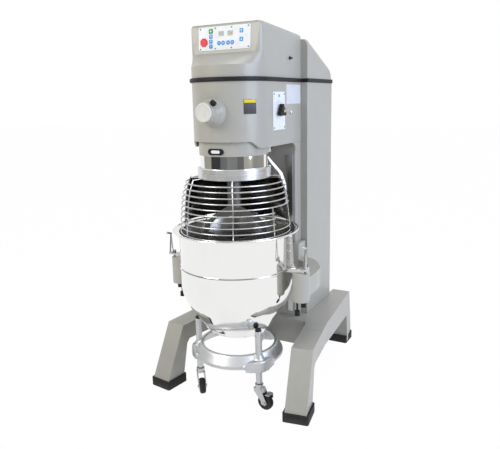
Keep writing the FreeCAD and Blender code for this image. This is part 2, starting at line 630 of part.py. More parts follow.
# ---------------------------------------------------------------- mixing drive
def drive():
    agitator = polar(ORBIT, ORBIT_TURN)
    save("ring_gear", turned(ring_gear(1158, 1186), ORBIT_TURN))
    drip = lathe([(DRIP_R - 3, DRIP_BOTTOM + 3), (DRIP_R - 3, SKIRT_BOTTOM), (DRIP_R, SKIRT_BOTTOM),
                  (DRIP_R, DRIP_BOTTOM + 3), (COLLAR_R - 4, DRIP_BOTTOM + 3), (COLLAR_R - 4, DRIP_BOTTOM),
                  (DRIP_R - 3, DRIP_BOTTOM)])
    save("drip_ring", drip)
    bearing = cyl(44, HEAD_NOSE_BOTTOM - 8, HEAD_NOSE_BOTTOM + 40)
    bearing = bearing.cut(cyl(SPINDLE_R + RUN, 1100, 1400))

    carrier_r = DRIP_R - 4.5
    carrier = lathe([(0, 1094), (carrier_r - 2, 1094), (carrier_r, 1098), (carrier_r, 1140),
                     (carrier_r - 4, 1144), (60, 1144), (46, 1150), (0, 1150)])
    carrier = carrier.cut(cyl(SPINDLE_R, 1100, 1160))
    pocket = cyl(38, 1060, 1094, agitator.x, agitator.y)
    carrier = fuse([carrier, pocket]).cut(cyl(AGITATOR_R + RUN, 1000, 1200, agitator.x, agitator.y))
    save("planet_carrier", carrier)
    spindle = fuse([cyl(SPINDLE_R, 1100, 1330), cyl(SPINDLE_R + 8, HEAD_NOSE_BOTTOM + 40 + SEAT, 1256)])
    save("spindle", spindle)
    save("bull_gear", spur_gear(BULL_TEETH, BULL_MODULE, 1256, 1280, SPINDLE_R))

    pinion = spur_gear(PINION_TEETH, MODULE, 1158.4, 1184, AGITATOR_R - 1)
    pinion.translate(V(ORBIT, 0, 0))
    shaft = cyl(AGITATOR_R, 1000, 1190, agitator.x, agitator.y)
    collar = cyl(AGITATOR_R + 8, 1144.3, 1150, agitator.x, agitator.y)
    save("agitator_shaft", fuse([shaft, collar, turned(pinion, ORBIT_TURN)]))

    motor_y = BULL_MODULE * (BULL_TEETH + MOTOR_TEETH) / 2
    gear = spur_gear(MOTOR_TEETH, BULL_MODULE, 1256, 1280, 14)
    gear.rotate(V(0, 0, 0), UP, 90 + 180.0 / MOTOR_TEETH)
    gear.translate(V(0, motor_y, 0))
    rotor = cyl(14, 1230, 1350, 0, motor_y)
    save("motor_pinion", fuse([gear, rotor]))
    can = fuse([cyl(92, 1306, 1560, 0, motor_y), cyl(78, 1560, 1600, 0, motor_y)])
    mount = box(-HEAD_R + HEAD_WALL, HEAD_R - HEAD_WALL, motor_y - 60, motor_y + 60, 1296, 1306)
    motor = fuse([can, mount]).cut(cyl(14 + RUN, 1290, 1352, 0, motor_y))
    foot = cyl(24, HEAD_NOSE_BOTTOM + 12, 1246, 0, motor_y).cut(cyl(14 + RUN, 1228, 1300, 0, motor_y))
    save("drive_motor", motor)
    save("shaft_bearings", bearing, foot, screw_bearing())
    save("beater", beater(agitator))


def beater(centre):
    """Flat beater: a cast frame that follows the bowl, with a spine and slanted ribs."""
    rise = LIFT_TRAVEL + UNSEAT
    bottom = BOWL_BOTTOM + BOWL_T + rise + BEATER_GAP

    def frame(inset):
        """Right half of the outline, from the foot to the shoulder."""
        heights = [bottom, bottom + 5, bottom + 14, bottom + 45, bottom + 90, bottom + 135, bottom + 170]
        half = []
        for z in heights:
            reach = bowl_inside(z - rise) - ORBIT - BEATER_GAP
            half.append((min(reach, BEATER_HALF) - inset, max(z, bottom + inset * 0.9)))
        half += [(BEATER_HALF - inset, 800 - inset * 0.3), (BEATER_HALF - 14 - inset, 850 - inset * 0.5),
                 (BEATER_HALF - 50 - inset * 0.7, 886 - inset * 0.8)]
        return half

    right = frame(0) + [(30, 925), (26, 985)]
    outline = right + [(-x, z) for x, z in reversed(right)]
    body = face([V(x, -9, z) for x, z in outline]).extrude(V(0, 18, 0))
    spine = 13
    inner = [p for p in frame(20) if p[0] > spine + 6]
    window = [(spine, inner[0][1])] + inner + [(spine, inner[-1][1] + 14)]
    for sign in (1, -1):
        hole = face([V(sign * x, -20, z) for x, z in window]).extrude(V(0, 40, 0))
        body = body.cut(hole)
    ribs = []
    for z in (bottom + 90, bottom + 180, bottom + 270):
        outer_end = min(bowl_inside(z + 50 - rise) - ORBIT - BEATER_GAP, BEATER_HALF) - 12
        for sign in (1, -1):
            rib = face([V(sign * 8, -7, z), V(sign * 8, -7, z + 20), V(sign * outer_end, -7, z + 60),
                        V(sign * outer_end, -7, z + 42)]).extrude(V(0, 14, 0))
            ribs.append(rib)
    body = fuse([body, cyl(30, 925, 1040)] + ribs)
    body = body.cut(cyl(AGITATOR_R, 999, 1100))
    body.rotate(V(0, 0, 0), UP, 20)
    body.translate(centre)
    return body


# ---------------------------------------------------------------- guard
def guard_radius(z):
    """Radius of the guard's shape at a height."""
    for (r1, z1), (r0, z0) in zip(GUARD_PROFILE, GUARD_PROFILE[1:]):
        if z >= z0:
            return r0 + (r1 - r0) * (z - z0) / (z1 - z0)
    return GUARD_PROFILE[-1][0]


def wire_ring(radius, z, start, end):
    """A wire bent to an arc, of hexagonal section."""
    section = []
    for corner in range(6):
        angle = math.radians(60 * corner)
        section.append((radius + WIRE_R * math.cos(angle), z + WIRE_R * math.sin(angle)))
    return lathe(section, end - start, start)


def upright(degrees, low, high):
    """A wire down the guard's profile at one angle."""
    levels = [z for z in [COLLAR_BOTTOM + 1] + RING_HEIGHTS if low <= z <= high]
    path = [V(guard_radius(z) - 2 * WIRE_R + WELD, 0, z) for z in levels]
    return turned(wire_run(path), degrees)


def wire_run(path):
    """A wire of hexagonal section along straight stretches in the plane y = 0."""
    along = (path[1] - path[0]).normalize()
    across = along.cross(ALONG_Y)
    section = []
    for corner in range(6):
        angle = math.radians(60 * corner)
        section.append(path[0] + across * (WIRE_R * math.cos(angle)) + ALONG_Y * (WIRE_R * math.sin(angle)))
    outline = Part.makePolygon(section + section[:1])
    mitred = 1
    return Part.makePolygon(path).makePipeShell([outline], True, False, mitred)


def cage_panels(cage):
    """The cage as welded panels, split again at the feed opening and under the spokes."""
    low, high = RING_HEIGHTS[-1] - 20, COLLAR_BOTTOM + 20
    past_end = GUARD_TO + 2
    angles = [GUARD_FROM - 2] + GUARD_SEAMS + [GUARD_TO - FEED_SPAN + 0.6, past_end]
    under_spokes = COLLAR_BOTTOM - 5
    blocks = []
    for start, end in zip(angles, angles[1:-1]):
        blocks += [(start, end, low, under_spokes), (start, end, under_spokes, high)]
    levels = [low, FEED_LOW, FEED_HIGH, under_spokes, high]
    for bottom, top in zip(levels, levels[1:]):
        blocks.append((angles[-2], past_end, bottom, top))
    panels = []
    for start, end, bottom, top in blocks:
        block = lathe([(100, bottom), (300, bottom), (300, top), (100, top)], end - start, start)
        panels.extend(cage.common(block).Solids)
    return panels


def guard():
    band = lathe([(COLLAR_R - 3, COLLAR_BOTTOM), (COLLAR_R, COLLAR_BOTTOM), (COLLAR_R, COLLAR_TOP),
                  (DRIP_R + 1, COLLAR_TOP), (DRIP_R + 1, COLLAR_TOP - 3), (COLLAR_R - 3, COLLAR_TOP - 3)])
    rail = lathe([(DRIP_R + 1, DRIP_BOTTOM + 3 + SEAT), (COLLAR_R - 3, DRIP_BOTTOM + 3 + SEAT),
                  (COLLAR_R - 3, DRIP_BOTTOM + 9), (DRIP_R + 1, DRIP_BOTTOM + 9)])
    collar = fuse([band, rail])
    save("guard_collar", collar)

    wires = []
    for z in RING_HEIGHTS:
        end = GUARD_TO - FEED_SPAN if FEED_LOW < z < FEED_HIGH else GUARD_TO
        wires.append(wire_ring(guard_radius(z), z, GUARD_FROM, end))
    for degrees in (GUARD_FROM + 1, 195, 240, 297, GUARD_TO - 1):
        wires.append(upright(degrees, 806, 1046))
    wires.append(upright(GUARD_TO - FEED_SPAN - 1, 806, 933))
    top = []
    for degrees in (GUARD_FROM + 1, 195, 240, 297, GUARD_TO - 1):
        spoke = wire_run([V(COLLAR_R - 1, 0, 1047), V(guard_radius(1046) - 2 * WIRE_R + 2, 0, 1045.6)])
        top.append(turned(spoke, degrees))
    save("guard_cage", *cage_panels(fuse(wires + top).cut(collar)))

    save("splash_shield", splash_shield())
    stay = guard_stay()
    save("guard_stay", stay)
    save("switch_cable", switch_cable().cut(stay))


def shell_sector(outer, thickness, start, end):
    """A sheet whose outside follows (radius, height) points, between two angles."""
    inner = [(r - thickness, z) for r, z in reversed(outer)]
    return lathe(outer + inner, end - start, start)


def splash_shield():
    """Sheet behind the mixing space, inside the cage, hung from the drip ring."""
    levels = [1036, 993, 948, 903, SHIELD_BOTTOM]
    side = [(guard_radius(z) - SHIELD_IN, z) for z in levels]
    sheet = shell_sector(side, 2, SHIELD_FROM, SHIELD_TO)
    lip_r = guard_radius(1036) - SHIELD_IN
    roof = lathe([(DRIP_R - 5, 1036), (lip_r, 1036), (lip_r, 1038), (DRIP_R - 5, 1038)],
                 SHIELD_TO - SHIELD_FROM, SHIELD_FROM)
    neck_band = lathe([(DRIP_R - 5, 1036), (DRIP_R - 3, 1036), (DRIP_R - 3, 1075), (DRIP_R - 5, 1075)],
                      SHIELD_TO - SHIELD_FROM, SHIELD_FROM)
    edges = [shell_sector(side, 14, SHIELD_FROM, SHIELD_FROM + 0.7),
             shell_sector(side, 14, SHIELD_TO - 0.7, SHIELD_TO)]
    return fuse([sheet, roof, neck_band] + edges)


def guard_stay():
    """Curved strip outside the cage on the right, with the switch blocks at its top."""
    line = [(SKIRT_R + 4, 1128), (SKIRT_R + 20, 1100), (SKIRT_R + 42, 1072)]
    line += [(guard_radius(z) + WIRE_R + 0.6 + STAY_T, z) for z in (1045, 993, 948, 903)]
    strip = shell_sector(line, STAY_T, STAY_ANGLE - 2.6, STAY_ANGLE + 2.6)
    upper = lathe([(SKIRT_R, 1126), (SKIRT_R + 4, 1126), (SKIRT_R + 4, 1182), (SKIRT_R, 1182)], 10,
                  STAY_ANGLE - 5)
    block = lathe([(SKIRT_R, 1150), (SKIRT_R + 12, 1150), (SKIRT_R + 12, 1178), (SKIRT_R, 1178)], 8,
                  STAY_ANGLE - 18)
    link = lathe([(SKIRT_R, 1160), (SKIRT_R + 5, 1160), (SKIRT_R + 5, 1170), (SKIRT_R, 1170)], 14,
                 STAY_ANGLE - 12)
    return fuse([strip, upper, block, link])


def switch_cable():
    """Short switch lead: out of the block, round a bend and up into the head."""
    r = 3.5
    start = polar(SKIRT_R + 6, STAY_ANGLE - 10.02, 1164)
    bend = 26.0
    level = V(start.x, start.y + 20, start.z)
    run = bar(start, level, r)
    corner = level + V(0, 0, bend)
    quarter = Part.Face(Part.Wire(Part.makeCircle(r, level, ALONG_Y))).revolve(corner, ALONG_X, 90)
    top = corner + V(0, bend, 0)
    return fuse([run, quarter, bar(top, V(top.x, top.y, HEAD_NOSE_BOTTOM), r)])


# ---------------------------------------------------------------- bowl
def bowl_curve():
    """Lean of the cone, and centre and radius of the knuckle and of the shoulder."""
    lean = math.atan2(CONE_TOP[0] - CONE_FOOT[0], CONE_TOP[1] - CONE_FOOT[1])
    out = V(math.cos(lean), 0, -math.sin(lean))
    knuckle_r = (CONE_FOOT[1] - BOWL_BOTTOM) / (1 - math.sin(lean))
    shoulder_r = (BOWL_R - CONE_TOP[0]) / (1 - math.cos(lean))
    knuckle = V(CONE_FOOT[0], 0, CONE_FOOT[1]) - out * knuckle_r
    shoulder = V(CONE_TOP[0], 0, CONE_TOP[1]) - out * shoulder_r
    return lean, knuckle, knuckle_r, shoulder, shoulder_r


def bowl_inside(z):
    """Inside radius of the bowl at a height."""
    lean, knuckle, knuckle_r, shoulder, shoulder_r = bowl_curve()
    if z >= shoulder.z:
        return BOWL_R - BOWL_T
    if z >= CONE_TOP[1]:
        return shoulder.x + math.sqrt((shoulder_r - BOWL_T) ** 2 - (shoulder.z - z) ** 2)
    if z >= CONE_FOOT[1]:
        return CONE_FOOT[0] + (z - CONE_FOOT[1]) * math.tan(lean) - BOWL_T / math.cos(lean)
    drop = min(knuckle.z - z, knuckle_r - BOWL_T)
    return knuckle.x + math.sqrt((knuckle_r - BOWL_T) ** 2 - drop ** 2)


def bowl_form(inset):
    """The bowl as a full solid: flat floor, knuckle, cone, shoulder arc and straight wall."""
    lean, knuckle, knuckle_r, shoulder, shoulder_r = bowl_curve()

    def at(centre, radius, angle):
        return centre + V(math.cos(angle), 0, math.sin(angle)) * (radius - inset)

    low = at(knuckle, knuckle_r, -math.pi / 2)
    foot = at(knuckle, knuckle_r, -lean)
    top = at(shoulder, shoulder_r, -lean)
    side = at(shoulder, shoulder_r, 0)
    lip = V(side.x, 0, BOWL_RIM)
    edges = [Part.LineSegment(V(0, 0, low.z), low).toShape(),
             Part.Arc(low, at(knuckle, knuckle_r, -(math.pi / 2 + lean) / 2), foot).toShape(),
             Part.LineSegment(foot, top).toShape(),
             Part.Arc(top, at(shoulder, shoulder_r, -lean / 2), side).toShape(),
             Part.LineSegment(side, lip).toShape(),
             Part.LineSegment(lip, V(0, 0, BOWL_RIM)).toShape(),
             Part.LineSegment(V(0, 0, BOWL_RIM), V(0, 0, low.z)).toShape()]
    return Part.Face(Part.Wire(edges)).revolve(V(0, 0, 0), UP, 360)


def bowl():
    bead = 4.0
    outer = bowl_form(0)
    lip = lathe([(BOWL_R - BOWL_T, BOWL_RIM - 12), (BOWL_R, BOWL_RIM - 14), (BOWL_R + 5, BOWL_RIM - 7),
                 (RIM_R - bead, BOWL_RIM - 3), (RIM_R - bead, BOWL_RIM), (BOWL_R + 3, BOWL_RIM - 3),
                 (BOWL_R - BOWL_T, BOWL_RIM - 9)])
    section = []
    for corner in range(8):
        angle = math.radians(45 * corner + 22.5)
        section.append((RIM_R - bead + bead * math.cos(angle), BOWL_RIM - bead + bead * math.sin(angle)))
    roll = lathe(section)
    wall = outer.cut(box(-300, 300, -300, 300, BOWL_RIM - 10, BOWL_RIM + 1)).cut(bowl_form(BOWL_T))
    foot = lathe([(FOOT_R - 10, BOWL_FLOOR), (FOOT_R, BOWL_FLOOR), (FOOT_R + 16, BOWL_FLOOR + 25),
                  (FOOT_R - 12, BOWL_FLOOR + 25)])
    hoop = lathe([(BOWL_R, HOOP_Z - 8), (BOWL_R + 4, HOOP_Z - 6), (BOWL_R + 4, HOOP_Z + 6),
                  (BOWL_R, HOOP_Z + 8)])
    ear_bottom = BOSS_TOP + SEAT
    ear = box(BOWL_R - 6, BOSS_X + 20, -16, 16, ear_bottom, ear_bottom + EAR_T)
    ear = ear.makeFillet(10, vertical_edges(ear, lambda x, y: x > BOSS_X))
    web_top = BOWL_RIM - 20
    web = face([V(BOWL_R - 2, -4, ear_bottom + 4), V(BOSS_X - 16, -4, ear_bottom + 4),
                V(BOWL_R + 26, -4, ear_bottom + 44), V(BOWL_R + 20, -4, web_top - 10),
                V(BOWL_R + 14, -4, web_top), V(BOWL_R - 2, -4, web_top)]).extrude(V(0, 8, 0))
    for up in (50, 92, 128):
        web = web.cut(Part.makeCylinder(5, 20, V(BOWL_R + 12, -10, ear_bottom + up), ALONG_Y))
    pad = lathe([(BOWL_R, ear_bottom + 10), (BOWL_R + 4, ear_bottom + 10), (BOWL_R + 4, web_top - 6),
                 (BOWL_R, web_top - 6)], 11, -5.5)
    ear = fuse([ear, web, pad]).cut(outer).cut(hoop)
    ear = ear.cut(cyl(PIN_R + SEAT + 0.2, ear_bottom - 1, ear_bottom + EAR_T + 1, BOSS_X, 0))
    save("bowl_shell", fuse([wall, lip, roll, hoop, foot.cut(bowl_form(BOWL_T / 2))]))
    save("bowl_ears", ear, mirrored(ear))


# ---------------------------------------------------------------- bowl lift
def yoke_arm():
    """One curved arm of the yoke, from the slide block to the boss beside the bowl."""
    plan = [(BOSS_X - 30, 0), (BOSS_X + 30, 0), (BOSS_X + 29, 110), (BOSS_X + 18, 190),
            (BOSS_X - 20, 256), (262, 304), (196, 326), (196, YOKE_PLATE_Y), (238, 240),
            (276, 196), (BOSS_X - 30, 120)]
    arm = prism_z(plan, ARM_BOTTOM, ARM_TOP)
    arm = arm.makeFillet(20, vertical_edges(arm, lambda x, y: x > 200 and y > 10))
    boss = cyl(BOSS_R, BOSS_BOTTOM, BOSS_TOP, BOSS_X, 0)
    boss = boss.makeFillet(6, [e for e in boss.Edges if abs(e.CenterOfMass.z - BOSS_BOTTOM) < 0.1
                               and e.Length > 100])
    return fuse([arm, boss]).cut(cyl(STUD_R, BOSS_TOP - 20, BOSS_TOP + 1, CLAMP_X, 0))


def yoke():
    way_front = NECK_FRONT - SLIDE_T
    plate = box(-200, 200, YOKE_PLATE_Y, way_front - SEAT, YOKE_BOTTOM, YOKE_BOTTOM + YOKE_HEIGHT)
    cheek = box(NECK_HALF + SEAT + 0.1, 200, YOKE_PLATE_Y + 2, 342, YOKE_BOTTOM,
                YOKE_BOTTOM + YOKE_HEIGHT)
    corners = vertical_edges(plate, lambda x, y: y < YOKE_PLATE_Y + 1)
    plate = plate.makeFillet(6, corners)
    arm = yoke_arm()
    block = fuse([plate, cheek, mirrored(cheek), arm, mirrored(arm)])
    block = block.cut(cyl(BOWL_R + 5, YOKE_BOTTOM - 1, YOKE_BOTTOM + YOKE_HEIGHT + 1))
    pin_hole = cyl(PIN_R, BOSS_TOP - 40, BOSS_TOP + 1, BOSS_X, 0)
    save("yoke", block.cut(pin_hole).cut(mirrored(pin_hole)))

    pin = cyl(PIN_R, BOSS_TOP - 40, BOSS_TOP + EAR_T, BOSS_X, 0)
    pin = pin.makeChamfer(2, [e for e in pin.Edges if e.CenterOfMass.z > BOSS_TOP and e.Length > 60])
    stud_top = clamp_foot() + CLAMP_T + SEAT
    stud = fuse([cyl(STUD_R, BOSS_TOP - 20, stud_top, CLAMP_X, 0),
                 cyl(CLAMP_R - 1, stud_top, stud_top + 5, CLAMP_X, 0)])
    save("yoke_pins", pin, stud, mirrored(pin), mirrored(stud))

    plunger = cyl(12, BOSS_BOTTOM - 28, BOSS_BOTTOM, BOSS_X + 10, 6)
    knob = fuse([cyl(5, BOSS_BOTTOM - 44, BOSS_BOTTOM, BOSS_X - 14, -10),
                 cyl(12, BOSS_BOTTOM - 66, BOSS_BOTTOM - 44, BOSS_X - 14, -10)])
    save("yoke_plungers", plunger, knob, mirrored(plunger), mirrored(knob))


def clamp_foot():
    """Height of the underside of a clamp's plate, just clear of the bowl's ear."""
    return BOSS_TOP + 2 * SEAT + EAR_T


def clamp_lever():
    """Swing clamp, drawn open: a plate on an upright stud and a V-shaped wire handle."""
    foot = clamp_foot()
    top = foot + CLAMP_T
    plate = box(CLAMP_X - CLAMP_R, CLAMP_X + CLAMP_R, -CLAMP_REACH, 0, foot, top)
    plate = plate.makeFillet(CLAMP_R - 1, vertical_edges(plate, lambda x, y: y < -CLAMP_REACH + 1))
    wire_r = 3.6
    apex = V(CLAMP_X, -22, top + 92)
    handle = [Part.makeSphere(wire_r + 2, apex)]
    for y in (-13, -CLAMP_REACH + 5):
        handle.append(bar(V(CLAMP_X, y, top - 2), apex, wire_r))
    grip_end = apex + V(0, -30, 10)
    handle += [bar(apex, grip_end, wire_r + 2), Part.makeSphere(wire_r + 2, grip_end)]
    hub = cyl(CLAMP_R, BOSS_TOP + SEAT, top, CLAMP_X, 0)
    return fuse([hub, plate] + handle).cut(cyl(STUD_R + RUN, BOSS_TOP, top + 1, CLAMP_X, 0))


def lift():
    yoke()
    lever = clamp_lever()
    save("clamp_right", lever)
    save("clamp_left", mirrored(lever))

    way_front = NECK_FRONT - SLIDE_T
    stem = box(-30, 30, way_front - SEAT, SCREW_Y, NUT_Z, NUT_Z + 60)
    nut = fuse([stem, cyl(30, NUT_Z, NUT_Z + 60, 0, SCREW_Y)])
    save("lift_nut", nut.cut(cyl(SCREW_R + RUN, NUT_Z - 1, NUT_Z + 61, 0, SCREW_Y)))

    screw = fuse([cyl(SCREW_R, SCREW_LOW, SCREW_HIGH, 0, SCREW_Y),
                  cyl(JOURNAL_R, SCREW_LOW - 24, SCREW_HIGH + 40, 0, SCREW_Y)])
    save("lift_screw", screw)
    flange = box(-56, 56, NECK_FRONT + NECK_WALL, SCREW_Y + 56, SCREW_HIGH + SEAT, SCREW_HIGH + 24)
    motor = fuse([flange, cyl(52, SCREW_HIGH + 24, SCREW_HIGH + 190, 0, SCREW_Y),
                  cyl(44, SCREW_HIGH + 190, SCREW_HIGH + 204, 0, SCREW_Y)])
    save("lift_motor", motor.cut(cyl(JOURNAL_R + RUN, SCREW_HIGH - 1, SCREW_HIGH + 44, 0, SCREW_Y)))


def screw_bearing():
    """Foot bearing of the lift screw, bolted to the inside of the neck."""
    block = box(-36, 36, NECK_FRONT + NECK_WALL, SCREW_Y + 28, SCREW_LOW - 28, SCREW_LOW - SEAT)
    return block.cut(cyl(JOURNAL_R + RUN, SCREW_LOW - 40, SCREW_LOW + 1, 0, SCREW_Y))


# ---------------------------------------------------------------- dolly
def post_tip_height():
    """Height of a tip's centre that leaves the seat gap under the bowl's cone."""
    run_r = CONE_TOP[0] - CONE_FOOT[0]
    run_z = CONE_TOP[1] - CONE_FOOT[1]
    away = (TIP_R + SEAT) * math.hypot(run_r, run_z)
    return CONE_FOOT[1] + ((POST_RING - CONE_FOOT[0]) * run_z - away) / run_r


def dolly():
    ring = lathe([(DOLLY_LIP_R, DOLLY_TOP), (DOLLY_LIP_R + 14, DOLLY_TOP), (DOLLY_LIP_R + 19, DOLLY_TOP - 6),
                  (DOLLY_R, DOLLY_BOTTOM + 12), (DOLLY_R, DOLLY_BOTTOM), (DOLLY_R - 9, DOLLY_BOTTOM),
                  (DOLLY_R - 9, DOLLY_BOTTOM + 8), (DOLLY_LIP_R + 9, DOLLY_TOP - 11),
                  (DOLLY_LIP_R, DOLLY_TOP - 11)])
    tip_z = post_tip_height()
    posts = []
    tips = []
    for angle in POST_ANGLES.values():
        spot = polar(POST_RING, angle)
        collar = Part.makeCone(POST_R + 5, POST_R + 9, 62, V(spot.x, spot.y, DOLLY_BOTTOM - 26), UP)
        crown = Part.makeCone(POST_R + 9, POST_R + 2, 22, V(spot.x, spot.y, DOLLY_TOP - 26), UP)
        gusset = prism_z([(-4, -100), (6, -62), (17, -32), (25, -12), (25, 12), (17, 32), (6, 62), (-4, 100)],
                         DOLLY_BOTTOM - 20, DOLLY_BOTTOM + 34)
        gusset.translate(V(DOLLY_R - 9, 0, 0))
        gusset = gusset.cut(cyl(DOLLY_R - 10, 0, DOLLY_TOP))
        posts += [collar, crown, turned(gusset, angle), cyl(POST_R, FORK_TOP + 2, tip_z, spot.x, spot.y)]
        tips.append(Part.makeSphere(TIP_R, V(spot.x, spot.y, tip_z), UP, 0, 90, 360))
    frame = fuse([ring] + posts)
    for angle in POST_ANGLES.values():
        spot = polar(POST_RING, angle)
        frame = frame.cut(cyl(8 + RUN, FORK_TOP, FORK_TOP + 32, spot.x, spot.y))
    save("dolly_ring", frame)
    save("dolly_tips", *tips)
    for name, angle in POST_ANGLES.items():
        caster(name, angle)


def caster(name, post_angle):
    """One swivel caster under a post, trailing in its own direction."""
    spot = polar(POST_RING, post_angle)
    cup = fuse([cyl(19, FORK_TOP - 16, FORK_TOP + 2 - SEAT), cyl(8, FORK_TOP, FORK_TOP + 30),
                box(-20, 20, -18.5, 18.5, FORK_TOP - 20, FORK_TOP - 16)])
    cheek = face([V(-16, 15, FORK_TOP - 16), V(20, 15, FORK_TOP - 16), V(TRAIL + 13, 15, WHEEL_R + 8),
                  V(TRAIL + 10, 15, WHEEL_R - 10), V(TRAIL - 12, 15, WHEEL_R - 10),
                  V(TRAIL - 15, 15, WHEEL_R + 6), V(-19, 15, FORK_TOP - 30)]).extrude(V(0, 3.5, 0))
    axle = Part.makeCylinder(5, 44, V(TRAIL, -22, WHEEL_R), ALONG_Y)
    pieces = [cup, cheek, cheek.mirror(V(0, 0, 0), ALONG_Y), axle]
    if name == "a":
        pieces.append(box(TRAIL + 2, TRAIL + 30, 15, 18.5, WHEEL_R + 20, WHEEL_R + 42))
        pieces.append(box(TRAIL + 10, TRAIL + 30, -18.5, 18.5, WHEEL_R + 41, WHEEL_R + 45))
    fork = fuse(pieces)
    half = WHEEL_W / 2
    tyre = face([V(5 + RUN, -half, 0), V(14, -half, 0), V(16, -half + 3, 0), V(WHEEL_R - 9, -half + 3, 0),
                 V(WHEEL_R - 5, -half + 1, 0), V(WHEEL_R - 1.5, -half + 4, 0), V(WHEEL_R, 0, 0),
                 V(WHEEL_R - 1.5, half - 4, 0), V(WHEEL_R - 5, half - 1, 0), V(WHEEL_R - 9, half - 3, 0),
                 V(16, half - 3, 0), V(14, half, 0), V(5 + RUN, half, 0)]).revolve(V(0, 0, 0), ALONG_Y, 360)
    tyre.translate(V(TRAIL, 0, WHEEL_R))
    for label, shape in (("caster_fork_", fork), ("caster_wheel_", tyre)):
        shape = turned(shape, TRAIL_ANGLES[name])
        shape.translate(spot)
        save(label + name, shape)


# ---------------------------------------------------------------- run
def main():
    os.makedirs("parts", exist_ok=True)
    base()
    column()
    head()
    drive()
    guard()
    bowl()
    lift()
    dolly()


main()
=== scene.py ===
import math

import bpy
from mathutils import Matrix, Vector


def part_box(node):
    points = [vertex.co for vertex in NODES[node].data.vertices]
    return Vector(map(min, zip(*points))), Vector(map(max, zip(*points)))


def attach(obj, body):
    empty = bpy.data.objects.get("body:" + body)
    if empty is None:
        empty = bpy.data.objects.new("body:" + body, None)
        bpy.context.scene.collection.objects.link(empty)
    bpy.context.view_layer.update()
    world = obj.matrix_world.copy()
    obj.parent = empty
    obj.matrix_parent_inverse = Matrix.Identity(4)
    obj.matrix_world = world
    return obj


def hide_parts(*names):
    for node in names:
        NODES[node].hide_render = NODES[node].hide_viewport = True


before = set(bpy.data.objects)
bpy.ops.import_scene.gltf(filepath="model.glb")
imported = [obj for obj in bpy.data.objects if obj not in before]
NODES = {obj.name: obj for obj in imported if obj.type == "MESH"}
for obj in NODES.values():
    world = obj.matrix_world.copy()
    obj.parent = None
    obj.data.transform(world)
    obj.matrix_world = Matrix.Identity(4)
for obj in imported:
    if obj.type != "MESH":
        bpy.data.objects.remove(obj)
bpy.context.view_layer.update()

bl_info = {
    "name": "Planetary Floor Mixer",
    "version": (1, 0, 0),
    "blender": (4, 5, 0),
    "location": "View3D > Sidebar > Mixer",
    "description": "Dresses a planetary floor mixer with its finished surfaces and fine pieces",
    "category": "Object",
}

BOWL_LOW, BOWL_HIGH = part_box("bowl_shell")
AXIS = Vector(((BOWL_LOW.x + BOWL_HIGH.x) / 2, (BOWL_LOW.y + BOWL_HIGH.y) / 2, 0))
MM = 0.001
UP = Vector((0, 0, 1))
FRONT = Vector((0, -1, 0))

# Lengths in millimetres, heights above the floor, radii about the mixing axis.
BOWL_R = 259.0
BOWL_T = 3.0
BOWL_BOTTOM = 331.0
BOWL_RIM = 813.0
RIM_R = 288.0
CONE_FOOT = (158.0, 353.0)
CONE_TOP = (224.0, 450.0)
HOOP_Z = 640.0
FOOT_LINE = ((127, 0), (128, -2.8), (130.5, -4), (135.5, -4), (138, -2.8), (139.5, 0), (151, 17), (150, 22),
             (126, 21))             # radii, and heights above the bowl's bottom
HOOP_LINE = ((-1, -7), (2.4, -6), (3.6, -3.5), (3.9, 0), (3.6, 3.5), (2.4, 6), (-1, 7))
# The hoop's dull line is a painted dark reflection.
HOOP_SHADE = 4.5                    # height above the hoop's middle of its dull line
GUARD_LINE = [(211, 1045), (230, 993), (239, 948), (243, 903), (247.5, 855), (249, 806)]
RING_HEIGHTS = [1028, 1006, 982, 958, 933, 908, 883, 858, 832, 806]
GUARD_FROM, GUARD_TO, FEED_END = 155.0, 385.0, 343.0
CAGE_TOP, CAGE_FOOT = 1046, 803.5
FEED_LOW, FEED_HIGH = 840, 925      # the opening that ingredients are poured through ...
FEED_POST = (342.0, 934)            # ... and the angle and top of the wire beside it
UPRIGHTS = (156.0, 195.0, 240.0, 297.0, 384.0)
WELD = 1.2                          # how far one wire sinks into another
COLLAR_R = 163.0
SHIELD_FROM, SHIELD_TO, SHIELD_LOW = 22.0, 200.0, 838.0
SHIELD_LEVELS = [SHIELD_LOW, 870, 903, 925, 948, 970, 993, 1010, 1024, 1036]
SHIELD_IN, SHIELD_T, SHIELD_NECK, HEM_R = 12.5, 2.0, 145, 2.2
STAY_FROM, STAY_TO = 46.9, 48.1
HEAD_R = 172.5
HUB_Z = 1331.0
KNOB = (104.0, 1327.0)
SCALE_R = 42.0                      # marks about the knob
LAMP_SIGN = (107.0, 1393.0)
CAP_Y, THUMB_Y = -232.3, -219
CHART_SIZE, CHART_PLACE = (159, 86), (265.5, 1399)
NOSE_LOW, NOSE_HIGH, BAND_LOW, BAND_HIGH = 1321, 1380, 1366, 1379

# The control plate, measured across and up from its middle.
PLATE_FRONT = 2.0
PANEL_TILT = math.radians(4.0)
PANEL_Y, PANEL_Z = -53.8, 1632.0
STOP_X, STOP_Z = -98, -14
START_X, START_Z = -64, 30
PROGRAM_X, PROGRAM_ROWS = -64, (8.5, -11.5, -31.5)
ROUND_KEYS, ROUND_ROW = (-24, -4, 20, 40), -20
ARROW_X, ARROW_ROWS = 83, (24, -10)
DISPLAYS, DISPLAY_Z = (-14, 30), 18
BUTTON_LIFT = 1.4                   # underside of a button above the plate
PANEL_SCREWS = [(x, z) for x in (-116, -42, 36, 116) for z in (-41, 41)]
SIDE_SCREWS = [(y, z) for y in (56, 159) for z in (1256, 1400)]

